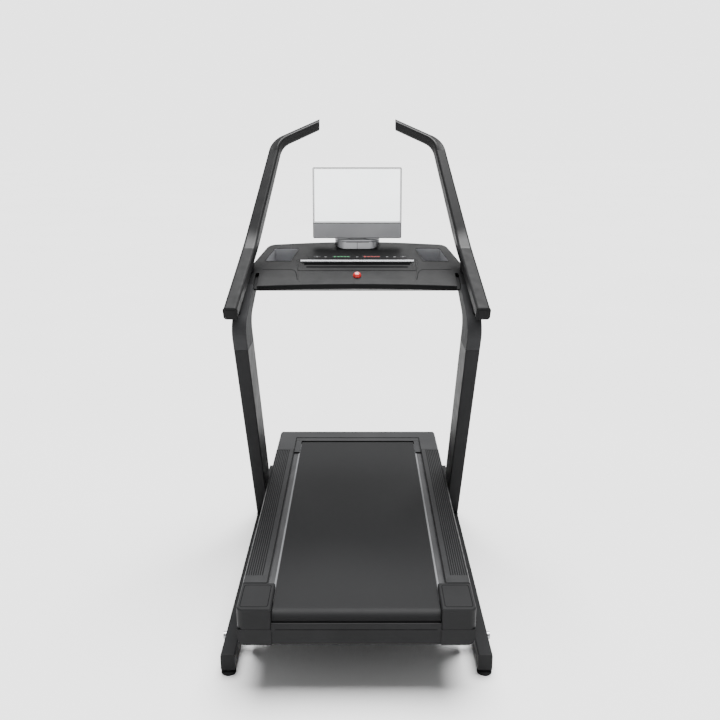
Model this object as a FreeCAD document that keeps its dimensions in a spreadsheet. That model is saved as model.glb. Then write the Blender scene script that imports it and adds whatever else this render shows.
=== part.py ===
import FreeCAD, Part
import math
import operator
import os
from types import SimpleNamespace

import Sketcher

# Incline treadmill, in millimetres. +X is the user's right, +Y the way the user faces, +Z up.
# The origin lies on the floor under the middle of the footprint.

SIZES = {
    # base frame
    "foot_clearance": 18, "rail_inner_x": 421, "rail_width": 50, "rail_height": 60,
    "rail_rear_y": -793, "rail_front_y": 887, "cap_thickness": 3, "tube_wall": 3,
    "front_tube_y": 740, "front_tube_depth": 50, "middle_tube_y": -122, "middle_tube_depth": 40,
    "foot_y": -779, "foot_radius": 26, "foot_stud_radius": 5,
    "wheel_axle_y": 852, "wheel_axle_z": 36, "wheel_radius": 34, "wheel_width": 22, "wheel_inner_x": 391,
    "axle_radius": 5,
    # uprights, arms and console
    "upright_inner_x": 420, "upright_width": 55, "upright_depth": 185, "upright_foot_y": 327,
    "upright_lean": 28.8, "seam_z": 1000, "elbow_radius": 60,
    "console_tilt": 19.5, "console_rear_y": 58, "console_rear_z": 1217, "console_far_v": 345,
    "console_half_width": 475, "console_far_half_width": 385, "console_skirt": 22,
    "console_depth": 75, "shell_wall": 3,
    "control_row_v": 230, "key_height": 8, "key_proud": 1.8,
    "safety_key_v": 66, "safety_key_radius": 17,
    # handlebars: lower end, kink beside the console, top bend and tip
    "bar_end_x": 471, "bar_end_y": -252, "bar_end_z": 1163.5,
    "bar_kink_x": 442, "bar_kink_y": 211, "bar_kink_z": 1355,
    "bar_bend_x": 354, "bar_bend_y": 525, "bar_bend_z": 1757,
    "bar_tip_x": 172, "bar_tip_y": 643, "bar_tip_z": 1838,
    "bar_kink_radius": 260, "bar_bend_radius": 120,
    "bar_end_width": 52, "bar_kink_width": 55, "bar_tip_width": 44, "bar_flatness": 0.9,
    "bar_wall": 3, "sleeve_wall": 5,
    # monitor
    "swivel_y": 395, "pedestal_half_width": 97.5, "pedestal_half_depth": 50, "pedestal_top_z": 1352,
    "pedestal_wall": 4, "turntable_thickness": 7,
    "monitor_axis_y": 392, "monitor_axis_z": 1408, "monitor_tilt": 6,
    "monitor_width": 382, "monitor_bottom": -48, "monitor_top": 252,
    "monitor_front": -49, "monitor_back": -16, "bezel_thickness": 4,
    "swivel_pin_radius": 18, "swivel_pin_length": 10, "tilt_pin_radius": 6, "running_clearance": 0.05,
    # deck
    "pivot_y": -650, "pivot_z": 60, "pivot_radius": 8,
    "deck_half_width": 396, "deck_rear_y": -890, "deck_top_z": 313, "deck_bottom_z": 181,
    "deck_seam_z": 239, "side_tube_inner_x": 322, "side_tube_width": 50, "side_tube_bottom_z": 215,
    "side_tube_height": 60, "rear_cap_front_y": -718, "hood_rear_y": 530, "hood_opening_y": 690,
    "hood_front_y": 884, "hood_front_z": 270, "pan_bottom_z": 178, "opening_half_width": 310,
    "roller_radius": 31.5, "roller_gap": 0.3, "roller_z": 258.2, "rear_roller_y": -845,
    "front_roller_y": 705, "roller_half_length": 280, "belt_thickness": 3, "belt_half_width": 279.5,
    "board_half_width": 314, "board_thickness": 25,
    "groove_count": 8, "groove_pitch": 8, "groove_width": 4, "groove_depth": 3,
    # drive
    "pulley_radius": 30, "motor_pulley_radius": 12, "pulley_inner_x": 298, "pulley_width": 22,
    "motor_y": 812, "motor_z": 232, "motor_radius": 48, "shaft_radius": 8, "flywheel_radius": 46,
    # lift actuator
    "lift_base_y": -150, "lift_base_z": 48, "lift_deck_y": -400, "lift_deck_z": 195,
    "lift_pin_radius": 8, "lift_eye_radius": 15, "lift_rod_radius": 14, "lift_tube_radius": 22,
}

OPERATORS = {"+": operator.add, "-": operator.sub, "*": operator.mul, "/": operator.truediv}


class Size(float):
    """A number from the sheet that remembers its formula, so that sums of sizes stay parametric."""

    def __new__(cls, number, text):
        size = super().__new__(cls, number)
        size.text = text
        return size

    def __add__(self, other):
        return combine(self, "+", other)

    def __radd__(self, other):
        return combine(other, "+", self)

    def __sub__(self, other):
        return combine(self, "-", other)

    def __rsub__(self, other):
        return combine(other, "-", self)

    def __mul__(self, other):
        return combine(self, "*", other)

    def __rmul__(self, other):
        return combine(other, "*", self)

    def __truediv__(self, other):
        return combine(self, "/", other)

    def __neg__(self):
        return combine(-1, "*", self)


def text_of(number):
    return number.text if isinstance(number, Size) else repr(float(number))


def combine(left, symbol, right):
    result = OPERATORS[symbol](float(left), float(right))
    return Size(result, f"({text_of(left)} {symbol} {text_of(right)})")


def sine(angle):
    return Size(math.sin(math.radians(angle)), f"sin({text_of(angle)})")


def cosine(angle):
    return Size(math.cos(math.radians(angle)), f"cos({text_of(angle)})")


def tangent(angle):
    return Size(math.tan(math.radians(angle)), f"tan({text_of(angle)})")


def bind(item, prop, number):
    """Sets a property to a number, or binds it to the number's formula."""
    if isinstance(number, Size):
        item.setExpression(prop, number.text)
    else:
        item.setExpression(prop, None)
        setattr(item, prop, number)


def make_sheet():
    sheet = document.addObject("Spreadsheet::Sheet", "Sizes")
    for row, (alias, number) in enumerate(SIZES.items(), start=1):
        sheet.set(f"A{row}", alias)
        sheet.set(f"B{row}", str(number))
        sheet.setAlias(f"B{row}", alias)
    document.recompute()
    return SimpleNamespace(**{alias: Size(sheet.get(alias), f"Sizes.{alias}") for alias in SIZES})


document = FreeCAD.newDocument("Treadmill")
s = make_sheet()
pieces = []
SIDES = (("left", -1), ("right", 1))


# ---------------------------------------------------------------- sketches

def fix_point(sketch, geometry, point, x, y):
    for kind, number in (("DistanceX", x), ("DistanceY", y)):
        index = sketch.addConstraint(Sketcher.Constraint(kind, -1, 1, geometry, point, float(number)))
        if isinstance(number, Size):
            sketch.setExpression(f"Constraints[{index}]", number.text)


def fix_radius(sketch, arc, radius):
    index = sketch.addConstraint(Sketcher.Constraint("Radius", arc, float(radius)))
    if isinstance(radius, Size):
        sketch.setExpression(f"Constraints[{index}]", radius.text)


def corner_arc(before, corner, after, radius):
    """Tangent points and arc of a rounded corner, and whether the outline turns left there."""
    into = FreeCAD.Vector(corner - before).normalize()
    out = FreeCAD.Vector(after - corner).normalize()
    half_turn = into.getAngle(out) / 2
    reach = radius * math.tan(half_turn)
    start, end = corner - into * reach, corner + out * reach
    turns_left = into.cross(out).z > 0
    inward = FreeCAD.Vector(-into.y, into.x, 0) * (1 if turns_left else -1)
    centre = start + inward * radius
    first, last = (start, end) if turns_left else (end, start)
    angles = [math.atan2(p.y - centre.y, p.x - centre.x) for p in (first, last)]
    circle = Part.Circle(centre, FreeCAD.Vector(0, 0, 1), radius)
    return start, end, Part.ArcOfCircle(circle, angles[0], angles[1]), turns_left


def draw_outline(sketch, outline):
    """A closed outline of straight sides; a third number on a corner is its rounding radius."""
    count = len(outline)
    corners = [FreeCAD.Vector(float(point[0]), float(point[1]), 0) for point in outline]
    starts, ends, arcs = [], [], {}
    for i, point in enumerate(outline):
        if len(point) == 3:
            start, end, arc, left = corner_arc(corners[i - 1], corners[i], corners[(i + 1) % count],
                                               float(point[2]))
            arcs[i] = (arc, left)
        else:
            start = end = corners[i]
        starts.append(start)
        ends.append(end)
    lines = [sketch.addGeometry(Part.LineSegment(ends[i], starts[(i + 1) % count]), False)
             for i in range(count)]
    for i, point in enumerate(outline):
        before, after = lines[i - 1], lines[i]
        if i not in arcs:
            sketch.addConstraint(Sketcher.Constraint("Coincident", before, 2, after, 1))
            fix_point(sketch, after, 1, point[0], point[1])
            continue
        arc, turns_left = arcs[i]
        arc_id = sketch.addGeometry(arc, False)
        first, last = (1, 2) if turns_left else (2, 1)
        sketch.addConstraint(Sketcher.Constraint("Tangent", before, 2, arc_id, first))
        sketch.addConstraint(Sketcher.Constraint("Tangent", arc_id, last, after, 1))
        fix_radius(sketch, arc_id, point[2])
        mark = sketch.addGeometry(Part.Point(corners[i]), True)
        fix_point(sketch, mark, 1, point[0], point[1])
        sketch.addConstraint(Sketcher.Constraint("PointOnObject", mark, 1, before))
        sketch.addConstraint(Sketcher.Constraint("PointOnObject", mark, 1, after))


def draw_circle(sketch, x, y, radius):
    centre = FreeCAD.Vector(float(x), float(y), 0)
    circle = sketch.addGeometry(Part.Circle(centre, FreeCAD.Vector(0, 0, 1), float(radius)), False)
    fix_radius(sketch, circle, radius)
    fix_point(sketch, circle, 3, x, y)


def draw_slot(sketch, x_low, x_high, y, radius):
    """A long slot along the sketch's x axis: two half circles joined by straight sides."""
    low, high = FreeCAD.Vector(float(x_low), float(y), 0), FreeCAD.Vector(float(x_high), float(y), 0)
    up, normal = FreeCAD.Vector(0, float(radius), 0), FreeCAD.Vector(0, 0, 1)
    quarter = math.pi / 2
    right = sketch.addGeometry(Part.ArcOfCircle(Part.Circle(high, normal, radius), -quarter, quarter), False)
    left = sketch.addGeometry(Part.ArcOfCircle(Part.Circle(low, normal, radius), quarter, 3 * quarter), False)
    top = sketch.addGeometry(Part.LineSegment(high + up, low + up), False)
    bottom = sketch.addGeometry(Part.LineSegment(low - up, high - up), False)
    joints = ((right, 2, top, 1), (top, 2, left, 1), (left, 2, bottom, 1), (bottom, 2, right, 1))
    for joint in joints:
        sketch.addConstraint(Sketcher.Constraint("Tangent", *joint))
    fix_radius(sketch, right, radius)
    fix_point(sketch, right, 3, x_high, y)
    fix_point(sketch, left, 3, x_low, y)


def block(x_low, x_high, y_low, y_high, radius=None):
    """The corners of an upright rectangle, rounded when a radius is given."""
    corners = [(x_low, y_low), (x_high, y_low), (x_high, y_high), (x_low, y_high)]
    return corners if radius is None else [corner + (radius,) for corner in corners]


# ---------------------------------------------------------------- bodies

def new_body(node, placement=None):
    body = document.addObject("PartDesign::Body", node)
    body.Label = node
    body.AllowCompound = True
    if placement is not None:
        body.Placement = placement
    pieces.append(body)
    return body


def new_sketch(body, plane, offset):
    sketch = body.newObject("Sketcher::SketchObject", f"{body.Name}_sketch")
    origin = next(item for item in body.Origin.OriginFeatures if item.Role == f"{plane}_Plane")
    sketch.AttachmentSupport = [(origin, "")]
    sketch.MapMode = "FlatFace"
    if isinstance(offset, Size):
        sketch.setExpression("AttachmentOffset.Base.z", offset.text)
    else:
        sketch.AttachmentOffset = FreeCAD.Placement(FreeCAD.Vector(0, 0, offset), FreeCAD.Rotation())
    return sketch


def extrusion(body, kind, plane, draw, low, high):
    """Extrudes what draw() sketches on a plane from low to high along that plane's own axis."""
    offset = -high if plane == "XZ" else low
    sketch = new_sketch(body, plane, offset)
    draw(sketch)
    feature = body.newObject(f"PartDesign::{kind}", f"{body.Name}_{kind.lower()}")
    feature.Profile = sketch
    feature.Reversed = kind == "Pocket"
    bind(feature, "Length", high - low)
    volume = body.Shape.Volume if kind == "Pocket" else 0
    document.recompute()
    body.Tip = feature
    if kind == "Pocket":
        assert feature.Shape.Volume < volume - 1, f"{feature.Name} cuts nothing"
    return feature


def pad(body, plane, outline, low, high):
    return extrusion(body, "Pad", plane, lambda sketch: draw_outline(sketch, outline), low, high)


def pocket(body, plane, outline, low, high):
    return extrusion(body, "Pocket", plane, lambda sketch: draw_outline(sketch, outline), low, high)


def disc(body, plane, centre, radius, low, high):
    return extrusion(body, "Pad", plane, lambda sketch: draw_circle(sketch, *centre, radius), low, high)


def bore(body, plane, centre, radius, low, high):
    return extrusion(body, "Pocket", plane, lambda sketch: draw_circle(sketch, *centre, radius), low, high)


def chosen(feature, kind, test):
    """Names of the edges or faces of a feature whose middle passes the test."""
    items = getattr(feature.Shape, f"{kind}s")
    return [f"{kind}{i}" for i, item in enumerate(items, start=1) if test(item.BoundBox)]


def dress(body, kind, test, number, prop="Radius"):
    """Rounds or bevels the edges that pass the test."""
    base = body.Tip
    names = chosen(base, "Edge", test)
    assert names, f"no edge chosen on {body.Name}"
    feature = body.newObject(f"PartDesign::{kind}", f"{body.Name}_{kind.lower()}")
    feature.Base = (base, names)
    bind(feature, prop, number)
    document.recompute()
    body.Tip = feature
    return feature


def hollow(body, wall, open_faces):
    """Turns the body into a shell with the chosen faces open."""
    base = body.Tip
    feature = body.newObject("PartDesign::Thickness", f"{body.Name}_shell")
    feature.Base = (base, chosen(base, "Face", open_faces))
    feature.Reversed = True
    bind(feature, "Value", wall)
    document.recompute()
    body.Tip = feature
    assert not feature.Shape.isNull(), f"{feature.Name} failed"
    return feature


def inset(outline, wall):
    """The same outline moved inwards by the wall, for outlines that run anticlockwise."""
    points = [FreeCAD.Vector(float(point[0]), float(point[1]), 0) for point in outline]
    moved = []
    for i, point in enumerate(outline):
        before, corner, after = points[i - 1], points[i], points[(i + 1) % len(points)]
        into, out = (corner - before).normalize(), (after - corner).normalize()
        normal_in, normal_out = (FreeCAD.Vector(-run.y, run.x, 0) for run in (into, out))
        spot = corner + (normal_in + normal_out) * (wall / (1 + normal_in.dot(normal_out)))
        turns_left = into.cross(out).z > 0
        radius = [max(1, point[2] + (-wall if turns_left else wall))] if len(point) == 3 else []
        moved.append((spot.x, spot.y, *map(float, radius)))
    return moved


def turned(node, axis, outline, at):
    """A piece turned on a lathe: outline points are (along the axis, radius)."""
    body = new_body(node)
    add_turned(body, axis, outline)
    bind_place(body, at)
    return body


def add_turned(body, axis, outline):
    plane, swap, reference = {"X": ("XY", False, "H_Axis"), "Z": ("XZ", True, "V_Axis")}[axis]
    sketch = new_sketch(body, plane, 0)
    points = [(p[1], p[0]) + tuple(p[2:]) for p in outline] if swap else outline
    draw_outline(sketch, points)
    feature = body.newObject("PartDesign::Revolution", f"{body.Name}_turning")
    feature.Profile = sketch
    feature.ReferenceAxis = (sketch, [reference])
    feature.Angle = 360
    document.recompute()
    body.Tip = feature


def bind_place(body, at):
    """Moves a body to a place, bound to the sheet where the place comes from it."""
    body.Placement = FreeCAD.Placement(FreeCAD.Vector(*map(float, at)), body.Placement.Rotation)
    for letter, number in zip("xyz", at):
        if isinstance(number, Size):
            body.setExpression(f"Placement.Base.{letter}", number.text)


def shape_piece(node, shape, placement=None):
    """A piece whose form is worked out from the sheet with Part's own functions."""
    piece = document.addObject("Part::Feature", node)
    piece.Label = node
    piece.Shape = shape
    if placement is not None:
        piece.Placement = placement
    pieces.append(piece)
    return piece


def along(bounds, axis, place, slack=0.1):
    """Whether a bounding box is flat at one place along an axis."""
    low, high = getattr(bounds, f"{axis}Min"), getattr(bounds, f"{axis}Max")
    return abs(low - place) < slack and abs(high - place) < slack


def both(sign, low, high):
    """The low and high x of a span on the right side, mirrored when sign is -1."""
    return (low, high) if sign > 0 else (-high, -low)


# ---------------------------------------------------------------- base frame

rail_outer_x = s.rail_inner_x + s.rail_width
rail_middle_x = s.rail_inner_x + s.rail_width / 2
rail_top_z = s.foot_clearance + s.rail_height
pivot_bore = s.pivot_radius + s.running_clearance
axle_bore = s.axle_radius + s.running_clearance
boot_bolt_places = [(365, 50), (405, 66), (445, 50), (485, 66)]


def base_rail(side, sign):
    body = new_body(f"base_rail_{side}")
    x_low, x_high = both(sign, s.rail_inner_x, rail_outer_x)
    wall = s.tube_wall
    pad(body, "XZ", block(x_low, x_high, s.foot_clearance, rail_top_z, 5), s.rail_rear_y, s.rail_front_y)
    inside = block(x_low + wall, x_high - wall, s.foot_clearance + wall, rail_top_z - wall, 2)
    pocket(body, "XZ", inside, s.rail_rear_y - 1, s.rail_front_y + 1)
    bore(body, "YZ", (s.pivot_y, s.pivot_z), pivot_bore, x_low - 1, x_high + 1)
    stud_bore = s.foot_stud_radius + s.running_clearance
    bore(body, "XY", (sign * rail_middle_x, s.foot_y), stud_bore, s.foot_clearance - 1, s.foot_clearance + 10)
    outer_wall = both(sign, rail_outer_x - wall - 1, rail_outer_x + 1)
    for y, z in boot_bolt_places:
        bore(body, "YZ", (y, z), 4, *outer_wall)


def rail_end_caps():
    """Two plugs at the back, and two caps at the front whose moulded foot stands on the floor."""
    body = new_body("rail_end_caps")
    clear = s.tube_wall + 0.1
    thick = s.cap_thickness
    for _, sign in SIDES:
        x_low, x_high = both(sign, s.rail_inner_x, rail_outer_x)
        face = block(x_low, x_high, s.foot_clearance, rail_top_z, 5)
        insert = block(x_low + clear, x_high - clear, s.foot_clearance + clear, rail_top_z - clear, 2)
        pad(body, "XZ", face, s.rail_rear_y - thick, s.rail_rear_y)
        pad(body, "XZ", insert, s.rail_rear_y, s.rail_rear_y + 7)
        pad(body, "XZ", insert, s.rail_front_y - 20, s.rail_front_y)
        front = s.rail_front_y + thick
        foot = [(s.rail_front_y - 90, 0, 4), (front, 0, 6), (front, rail_top_z, 2),
                (s.rail_front_y, rail_top_z), (s.rail_front_y, s.foot_clearance),
                (s.rail_front_y - 90, s.foot_clearance, 4)]
        pad(body, "YZ", foot, x_low, x_high)


def cross_tube(node, y_low, y_high, z_low, z_high):
    body = new_body(node)
    wall = s.tube_wall
    pad(body, "YZ", block(y_low, y_high, z_low, z_high, 4), -s.rail_inner_x, s.rail_inner_x)
    pocket(body, "YZ", block(y_low + wall, y_high - wall, z_low + wall, z_high - wall),
           -s.rail_inner_x - 1, s.rail_inner_x + 1)
    return body


def base_front_tube():
    """Front cross tube with the four welded ears that carry the transport wheels."""
    y_high = s.front_tube_y + s.front_tube_depth
    body = cross_tube("base_front_tube", s.front_tube_y, y_high, s.foot_clearance, rail_top_z)
    ear = [(y_high, 22), (s.wheel_axle_y + 16, 22, 14), (s.wheel_axle_y + 16, 52, 14), (y_high, 70)]
    gap = 3
    for _, sign in SIDES:
        for inner in (s.wheel_inner_x - gap - 4, s.wheel_inner_x + s.wheel_width + gap):
            low, high = both(sign, inner, inner + 4)
            pad(body, "YZ", ear, low, high)
            bore(body, "YZ", (s.wheel_axle_y, s.wheel_axle_z), s.axle_radius, low - 0.5, high + 0.5)


def base_middle_tube():
    """Middle cross tube with the two welded ears that hold the lift actuator's lower pin."""
    y_low = s.middle_tube_y
    body = cross_tube("base_middle_tube", y_low, y_low + s.middle_tube_depth, 23, 73)
    ear = [(s.lift_base_y - 22, 26, 20), (y_low, 26), (y_low, 70), (s.lift_base_y - 22, 70, 20)]
    for _, sign in SIDES:
        low, high = both(sign, 30, 38)
        pad(body, "YZ", ear, low, high)
        bore(body, "YZ", (s.lift_base_y, s.lift_base_z), s.lift_pin_radius, low - 1, high + 1)


def pivot_bolts():
    """The two bolts that the deck turns on, each with a spacer and a lock nut."""
    body = new_body("pivot_bolts")
    centre = (s.pivot_y, s.pivot_z)
    for _, sign in SIDES:
        disc(body, "YZ", centre, s.pivot_radius, *both(sign, 358, rail_outer_x))
        disc(body, "YZ", centre, 14, *both(sign, rail_outer_x, rail_outer_x + 9))
        disc(body, "YZ", centre, 13, *both(sign, 358, lug_inner_x - s.roller_gap))
        disc(body, "YZ", centre, 12, *both(sign, lug_outer_x + s.roller_gap, s.rail_inner_x))


def frame_bolts():
    """Wheel axles, the actuator's lower pin and the bolts through the uprights' foot plates."""
    body = new_body("frame_bolts")
    wheel_centre = (s.wheel_axle_y, s.wheel_axle_z)
    disc(body, "YZ", (s.lift_base_y, s.lift_base_z), s.lift_pin_radius, -44, 44)
    disc(body, "YZ", (s.lift_base_y, s.lift_base_z), s.lift_pin_radius + 4, 38, 44)
    for _, sign in SIDES:
        disc(body, "YZ", wheel_centre, s.axle_radius, *both(sign, 381, s.rail_inner_x - 1))
        disc(body, "YZ", wheel_centre, 9, *both(sign, 379, 384))
        for place in boot_bolt_places:
            disc(body, "YZ", place, 4, *both(sign, rail_outer_x - s.tube_wall, plate_outer_x))
            disc(body, "YZ", place, 7, *both(sign, plate_outer_x, plate_outer_x + 4))


def levelling_foot(side, sign):
    """A round pad on a threaded stud; it turns in the rail to set the height."""
    pad_radius, stud = s.foot_radius, s.foot_stud_radius
    outline = [(0, 0), (0, pad_radius, 2), (7, pad_radius, 2), (12, 12), (17.7, 12), (17.7, stud),
               (42, stud), (42, 0)]
    turned(f"levelling_foot_{side}", "Z", outline, (sign * rail_middle_x, s.foot_y, 0))


def transport_wheel(side, sign):
    radius, width = s.wheel_radius, s.wheel_width
    outline = [(0, axle_bore), (width, axle_bore), (width, 14), (width - 4, 16), (width - 4, radius - 10),
               (width, radius - 8), (width, radius, 3), (0, radius, 3), (0, radius - 8),
               (4, radius - 10), (4, 16), (0, 14)]
    x_low = both(sign, s.wheel_inner_x, s.wheel_inner_x + width)[0]
    turned(f"transport_wheel_{side}", "X", outline, (x_low, s.wheel_axle_y, s.wheel_axle_z))


# ---------------------------------------------------------------- uprights and arms

upright_outer_x = s.upright_inner_x + s.upright_width
plate_outer_x = upright_outer_x
lean_slope = tangent(s.upright_lean)
tilt_slope = tangent(s.console_tilt)
seam_gap = 1.5


def lean_y(z):
    """Rear face of the leaning upright at a height."""
    return s.upright_foot_y - lean_slope * (z - rail_top_z)


def console_point(v, w):
    """Y and Z of a point v up the console's slope and w above its top face."""
    y = s.console_rear_y + cosine(s.console_tilt) * v - sine(s.console_tilt) * w
    z = s.console_rear_z + sine(s.console_tilt) * v + cosine(s.console_tilt) * w
    return y, z


def meet_lean(v, w, depth):
    """Where the console-parallel line through (v, w) meets the upright's face at a depth in Y."""
    y, z = console_point(v, w)
    rear_y = lean_y(z) + depth
    cross_y = (rear_y + lean_slope * tilt_slope * y) / (1 + lean_slope * tilt_slope)
    return cross_y, z + tilt_slope * (cross_y - y)


def upright(side, sign):
    """A leaning box tube with a welded plate that laps the outside of the rail."""
    body = new_body(f"upright_{side}")
    x_low, x_high = both(sign, s.upright_inner_x, upright_outer_x)
    top_y, bottom_y = lean_y(s.seam_z), lean_y(rail_top_z)
    outline = [(bottom_y, rail_top_z), (bottom_y + s.upright_depth, rail_top_z),
               (top_y + s.upright_depth, s.seam_z), (top_y, s.seam_z)]
    pad(body, "YZ", outline, x_low, x_high)
    dress(body, "Fillet", lambda b: b.ZLength > 500, 5)
    wall = s.tube_wall
    over_y, under_y = lean_y(s.seam_z + 10), lean_y(rail_top_z - 10)
    inner_depth = s.upright_depth - wall
    inside = [(under_y + wall, rail_top_z - 10), (under_y + inner_depth, rail_top_z - 10),
              (over_y + inner_depth, s.seam_z + 10), (over_y + wall, s.seam_z + 10)]
    pocket(body, "YZ", inside, x_low + wall, x_high - wall)
    plate = [(bottom_y + 8, rail_top_z), (bottom_y + 20, 36, 10), (bottom_y + s.upright_depth - 8, 36, 10),
             (bottom_y + s.upright_depth, rail_top_z)]
    plate_span = both(sign, rail_outer_x, plate_outer_x)
    pad(body, "YZ", plate, *plate_span)
    for place in boot_bolt_places:
        bore(body, "YZ", place, 4, plate_span[0] - 1, plate_span[1] + 1)


def console_arm(side, sign):
    """A moulded arm from the upright's seam round the elbow and under the end of the console."""
    body = new_body(f"console_arm_{side}")
    seam = s.seam_z + seam_gap
    skirt, depth, reach = -s.console_skirt - 1, -s.console_depth, 130
    top_end, step = console_point(0, 0), console_point(0, skirt)
    outline = [(lean_y(seam), seam), (lean_y(seam) + s.upright_depth, seam),
               meet_lean(0, depth, s.upright_depth) + (45,), console_point(reach, depth) + (12,),
               console_point(reach, skirt) + (8,), step, top_end,
               meet_lean(0, 0, 0) + (s.elbow_radius,)]
    x_low, x_high = both(sign, s.upright_inner_x, upright_outer_x)
    pad(body, "YZ", outline, x_low, x_high)

    def on_side(b):
        under_cover = b.YMin > top_end[0] - 12 and b.ZMin > step[1] - 2
        return (along(b, "X", x_low) or along(b, "X", x_high)) and b.ZMax > seam + 1 and not under_cover

    dress(body, "Fillet", on_side, 5)
    hollow(body, s.tube_wall, lambda b: along(b, "Z", seam))
    beam_y, beam_z = console_point(beam_v, beam_w)
    bore(body, "YZ", (beam_y, beam_z), 5, *both(sign, s.upright_inner_x - 1, s.upright_inner_x + 8))


def bar_runs():
    """Centre line of the right handlebar as runs and bends, each a list of (place, direction)."""
    corners = [FreeCAD.Vector(s.bar_end_x, s.bar_end_y, s.bar_end_z),
               FreeCAD.Vector(s.bar_kink_x, s.bar_kink_y, s.bar_kink_z),
               FreeCAD.Vector(s.bar_bend_x, s.bar_bend_y, s.bar_bend_z),
               FreeCAD.Vector(s.bar_tip_x, s.bar_tip_y, s.bar_tip_z)]
    ways = [(b - a).normalize() for a, b in zip(corners, corners[1:])]
    runs = []
    last = (corners[0], ways[0])
    for corner, into, out, radius in zip(corners[1:], ways, ways[1:], (s.bar_kink_radius, s.bar_bend_radius)):
        turn = into.getAngle(out)
        start = corner - into * (radius * math.tan(turn / 2))
        inward = into.cross(out).cross(into).normalize()
        bend = []
        for step in range(5):
            angle = turn * step / 4
            place = start + into * (radius * math.sin(angle)) + inward * (radius * (1 - math.cos(angle)))
            bend.append((place, into * math.cos(angle) + inward * math.sin(angle)))
        runs += [[last, bend[0]], bend]
        last = bend[-1]
    return runs + [[last, (corners[3], ways[2])]]


def bar_width(place):
    """Width of the bar, which is widest at the kink and is worked out from the height."""
    if place.z < s.bar_kink_z:
        share = (place.z - s.bar_end_z) / (s.bar_kink_z - s.bar_end_z)
        return s.bar_end_width + (s.bar_kink_width - s.bar_end_width) * share
    share = (place.z - s.bar_kink_z) / (s.bar_tip_z - s.bar_kink_z)
    return s.bar_kink_width + (s.bar_tip_width - s.bar_kink_width) * share


def bar_section(place, direction, width):
    """A rounded rectangle square to the bar, with its width level."""
    level = direction.cross(FreeCAD.Vector(0, 0, 1)).normalize()
    up = level.cross(direction).normalize()
    half_w, half_h = float(width) / 2, width * s.bar_flatness / 2
    radius = 0.2 * float(width)
    bulge = radius * (1 - math.sqrt(0.5))
    edges = []
    signs = ((1, 1), (-1, 1), (-1, -1), (1, -1))

    def at(a, b):
        return place + level * float(a) + up * float(b)

    for i, (a, b) in enumerate(signs):
        upright_end = at(a * half_w, b * (half_h - radius))
        level_end = at(a * (half_w - radius), b * half_h)
        middle = at(a * (half_w - bulge), b * (half_h - bulge))
        first, last = (upright_end, level_end) if a * b > 0 else (level_end, upright_end)
        edges.append(Part.Arc(first, middle, last).toShape())
        next_a, next_b = signs[(i + 1) % 4]
        if a * b > 0:
            following = at(next_a * (half_w - radius), next_b * half_h)
        else:
            following = at(next_a * half_w, next_b * (half_h - radius))
        edges.append(Part.LineSegment(last, following).toShape())
    return Part.Wire(edges)


def bar_solid(runs, shrink):
    """The bar's runs and bends as one solid, made thinner by shrink on its width and height."""
    solids = []
    for run in runs:
        sections = [bar_section(place, direction, bar_width(place) - shrink) for place, direction in run]
        solids.append(Part.makeLoft(sections, True, len(run) == 2))
    return solids[0].multiFuse(solids[1:])


def shifted(frame, distance):
    place, direction = frame
    return place + direction * float(distance), direction


def handlebars():
    """Each bar is a steel tube whose lower run wears a rubber sleeve with a closed end."""
    grip_run, kink, upper_run, bend, tip_run = bar_runs()
    inside_end = shifted(grip_run[0], 6)
    past_tip, short_of_tip = shifted(tip_run[1], 40), shifted(tip_run[1], -30)
    tip_cut = Part.makeBox(200, 400, 400, FreeCAD.Vector(s.bar_tip_x - 200, s.bar_tip_y - 200,
                                                         s.bar_tip_z - 200))
    core_run = [inside_end, grip_run[1]]
    outer = bar_solid([kink, upper_run, bend, [tip_run[0], past_tip]], 0).cut(tip_cut)
    core = bar_solid([core_run], 2 * s.sleeve_wall)
    hollow_run = bar_solid([core_run, kink, upper_run, bend, [tip_run[0], short_of_tip]],
                           2 * (s.sleeve_wall + s.bar_wall))
    tube = outer.fuse(core).cut(hollow_run)
    sleeve = bar_solid([grip_run], 0).cut(core)
    shape_piece("handlebar_right", tube)
    shape_piece("handlebar_left", mirrored(tube))
    shape_piece("handlebar_sleeves", Part.makeCompound([mirrored(sleeve), sleeve]))


def mirrored(shape):
    return shape.mirror(FreeCAD.Vector(), FreeCAD.Vector(1, 0, 0))


def handlebar_brackets():
    """On each arm a saddle at the elbow and a post beside the console carry the bar."""
    brackets = []
    bar = bar_solid(bar_runs()[:3], 0)
    for x_low, x_high, v_low, v_high, height in ((447, 472, -235, -120, 45), (428, 452, 94, 122, 72)):
        post = Part.makeBox(x_high - x_low, v_high - v_low, height, FreeCAD.Vector(x_low, v_low, 0))
        post = post.makeFillet(5, [edge for edge in post.Edges if edge.BoundBox.ZLength > 40])
        post.Placement = console_frame()
        brackets += post.cut(bar).Solids
    shape_piece("handlebar_brackets", Part.makeCompound(brackets + [mirrored(b) for b in brackets]))


# ---------------------------------------------------------------- console

beam_v, beam_w = 100, -50


def console_frame():
    """Placement of pieces drawn flat with x to the right, y up the slope and z off the top face."""
    return FreeCAD.Placement(FreeCAD.Vector(0, s.console_rear_y, s.console_rear_z),
                             FreeCAD.Rotation(FreeCAD.Vector(1, 0, 0), float(s.console_tilt)))


def console_body(node):
    body = new_body(node, console_frame())
    bind_place(body, (0, s.console_rear_y, s.console_rear_z))
    body.setExpression("Placement.Rotation.Angle", s.console_tilt.text)
    return body


def cup_outline(sign, inset=0):
    corners = [(280 + inset, 192 + inset), (392 - inset, 192 + inset), (360 - inset, 308 - inset),
               (250 + inset, 308 - inset)]
    return [(sign * x, v, 8 - inset) for x, v in corners]


insert_rear_v, insert_far_v = 16, 206
panel_half_width, panel_depth = 212, 32
panel_rear_v = s.control_row_v - panel_depth / 2
panel_far_v = s.control_row_v + panel_depth / 2


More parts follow.
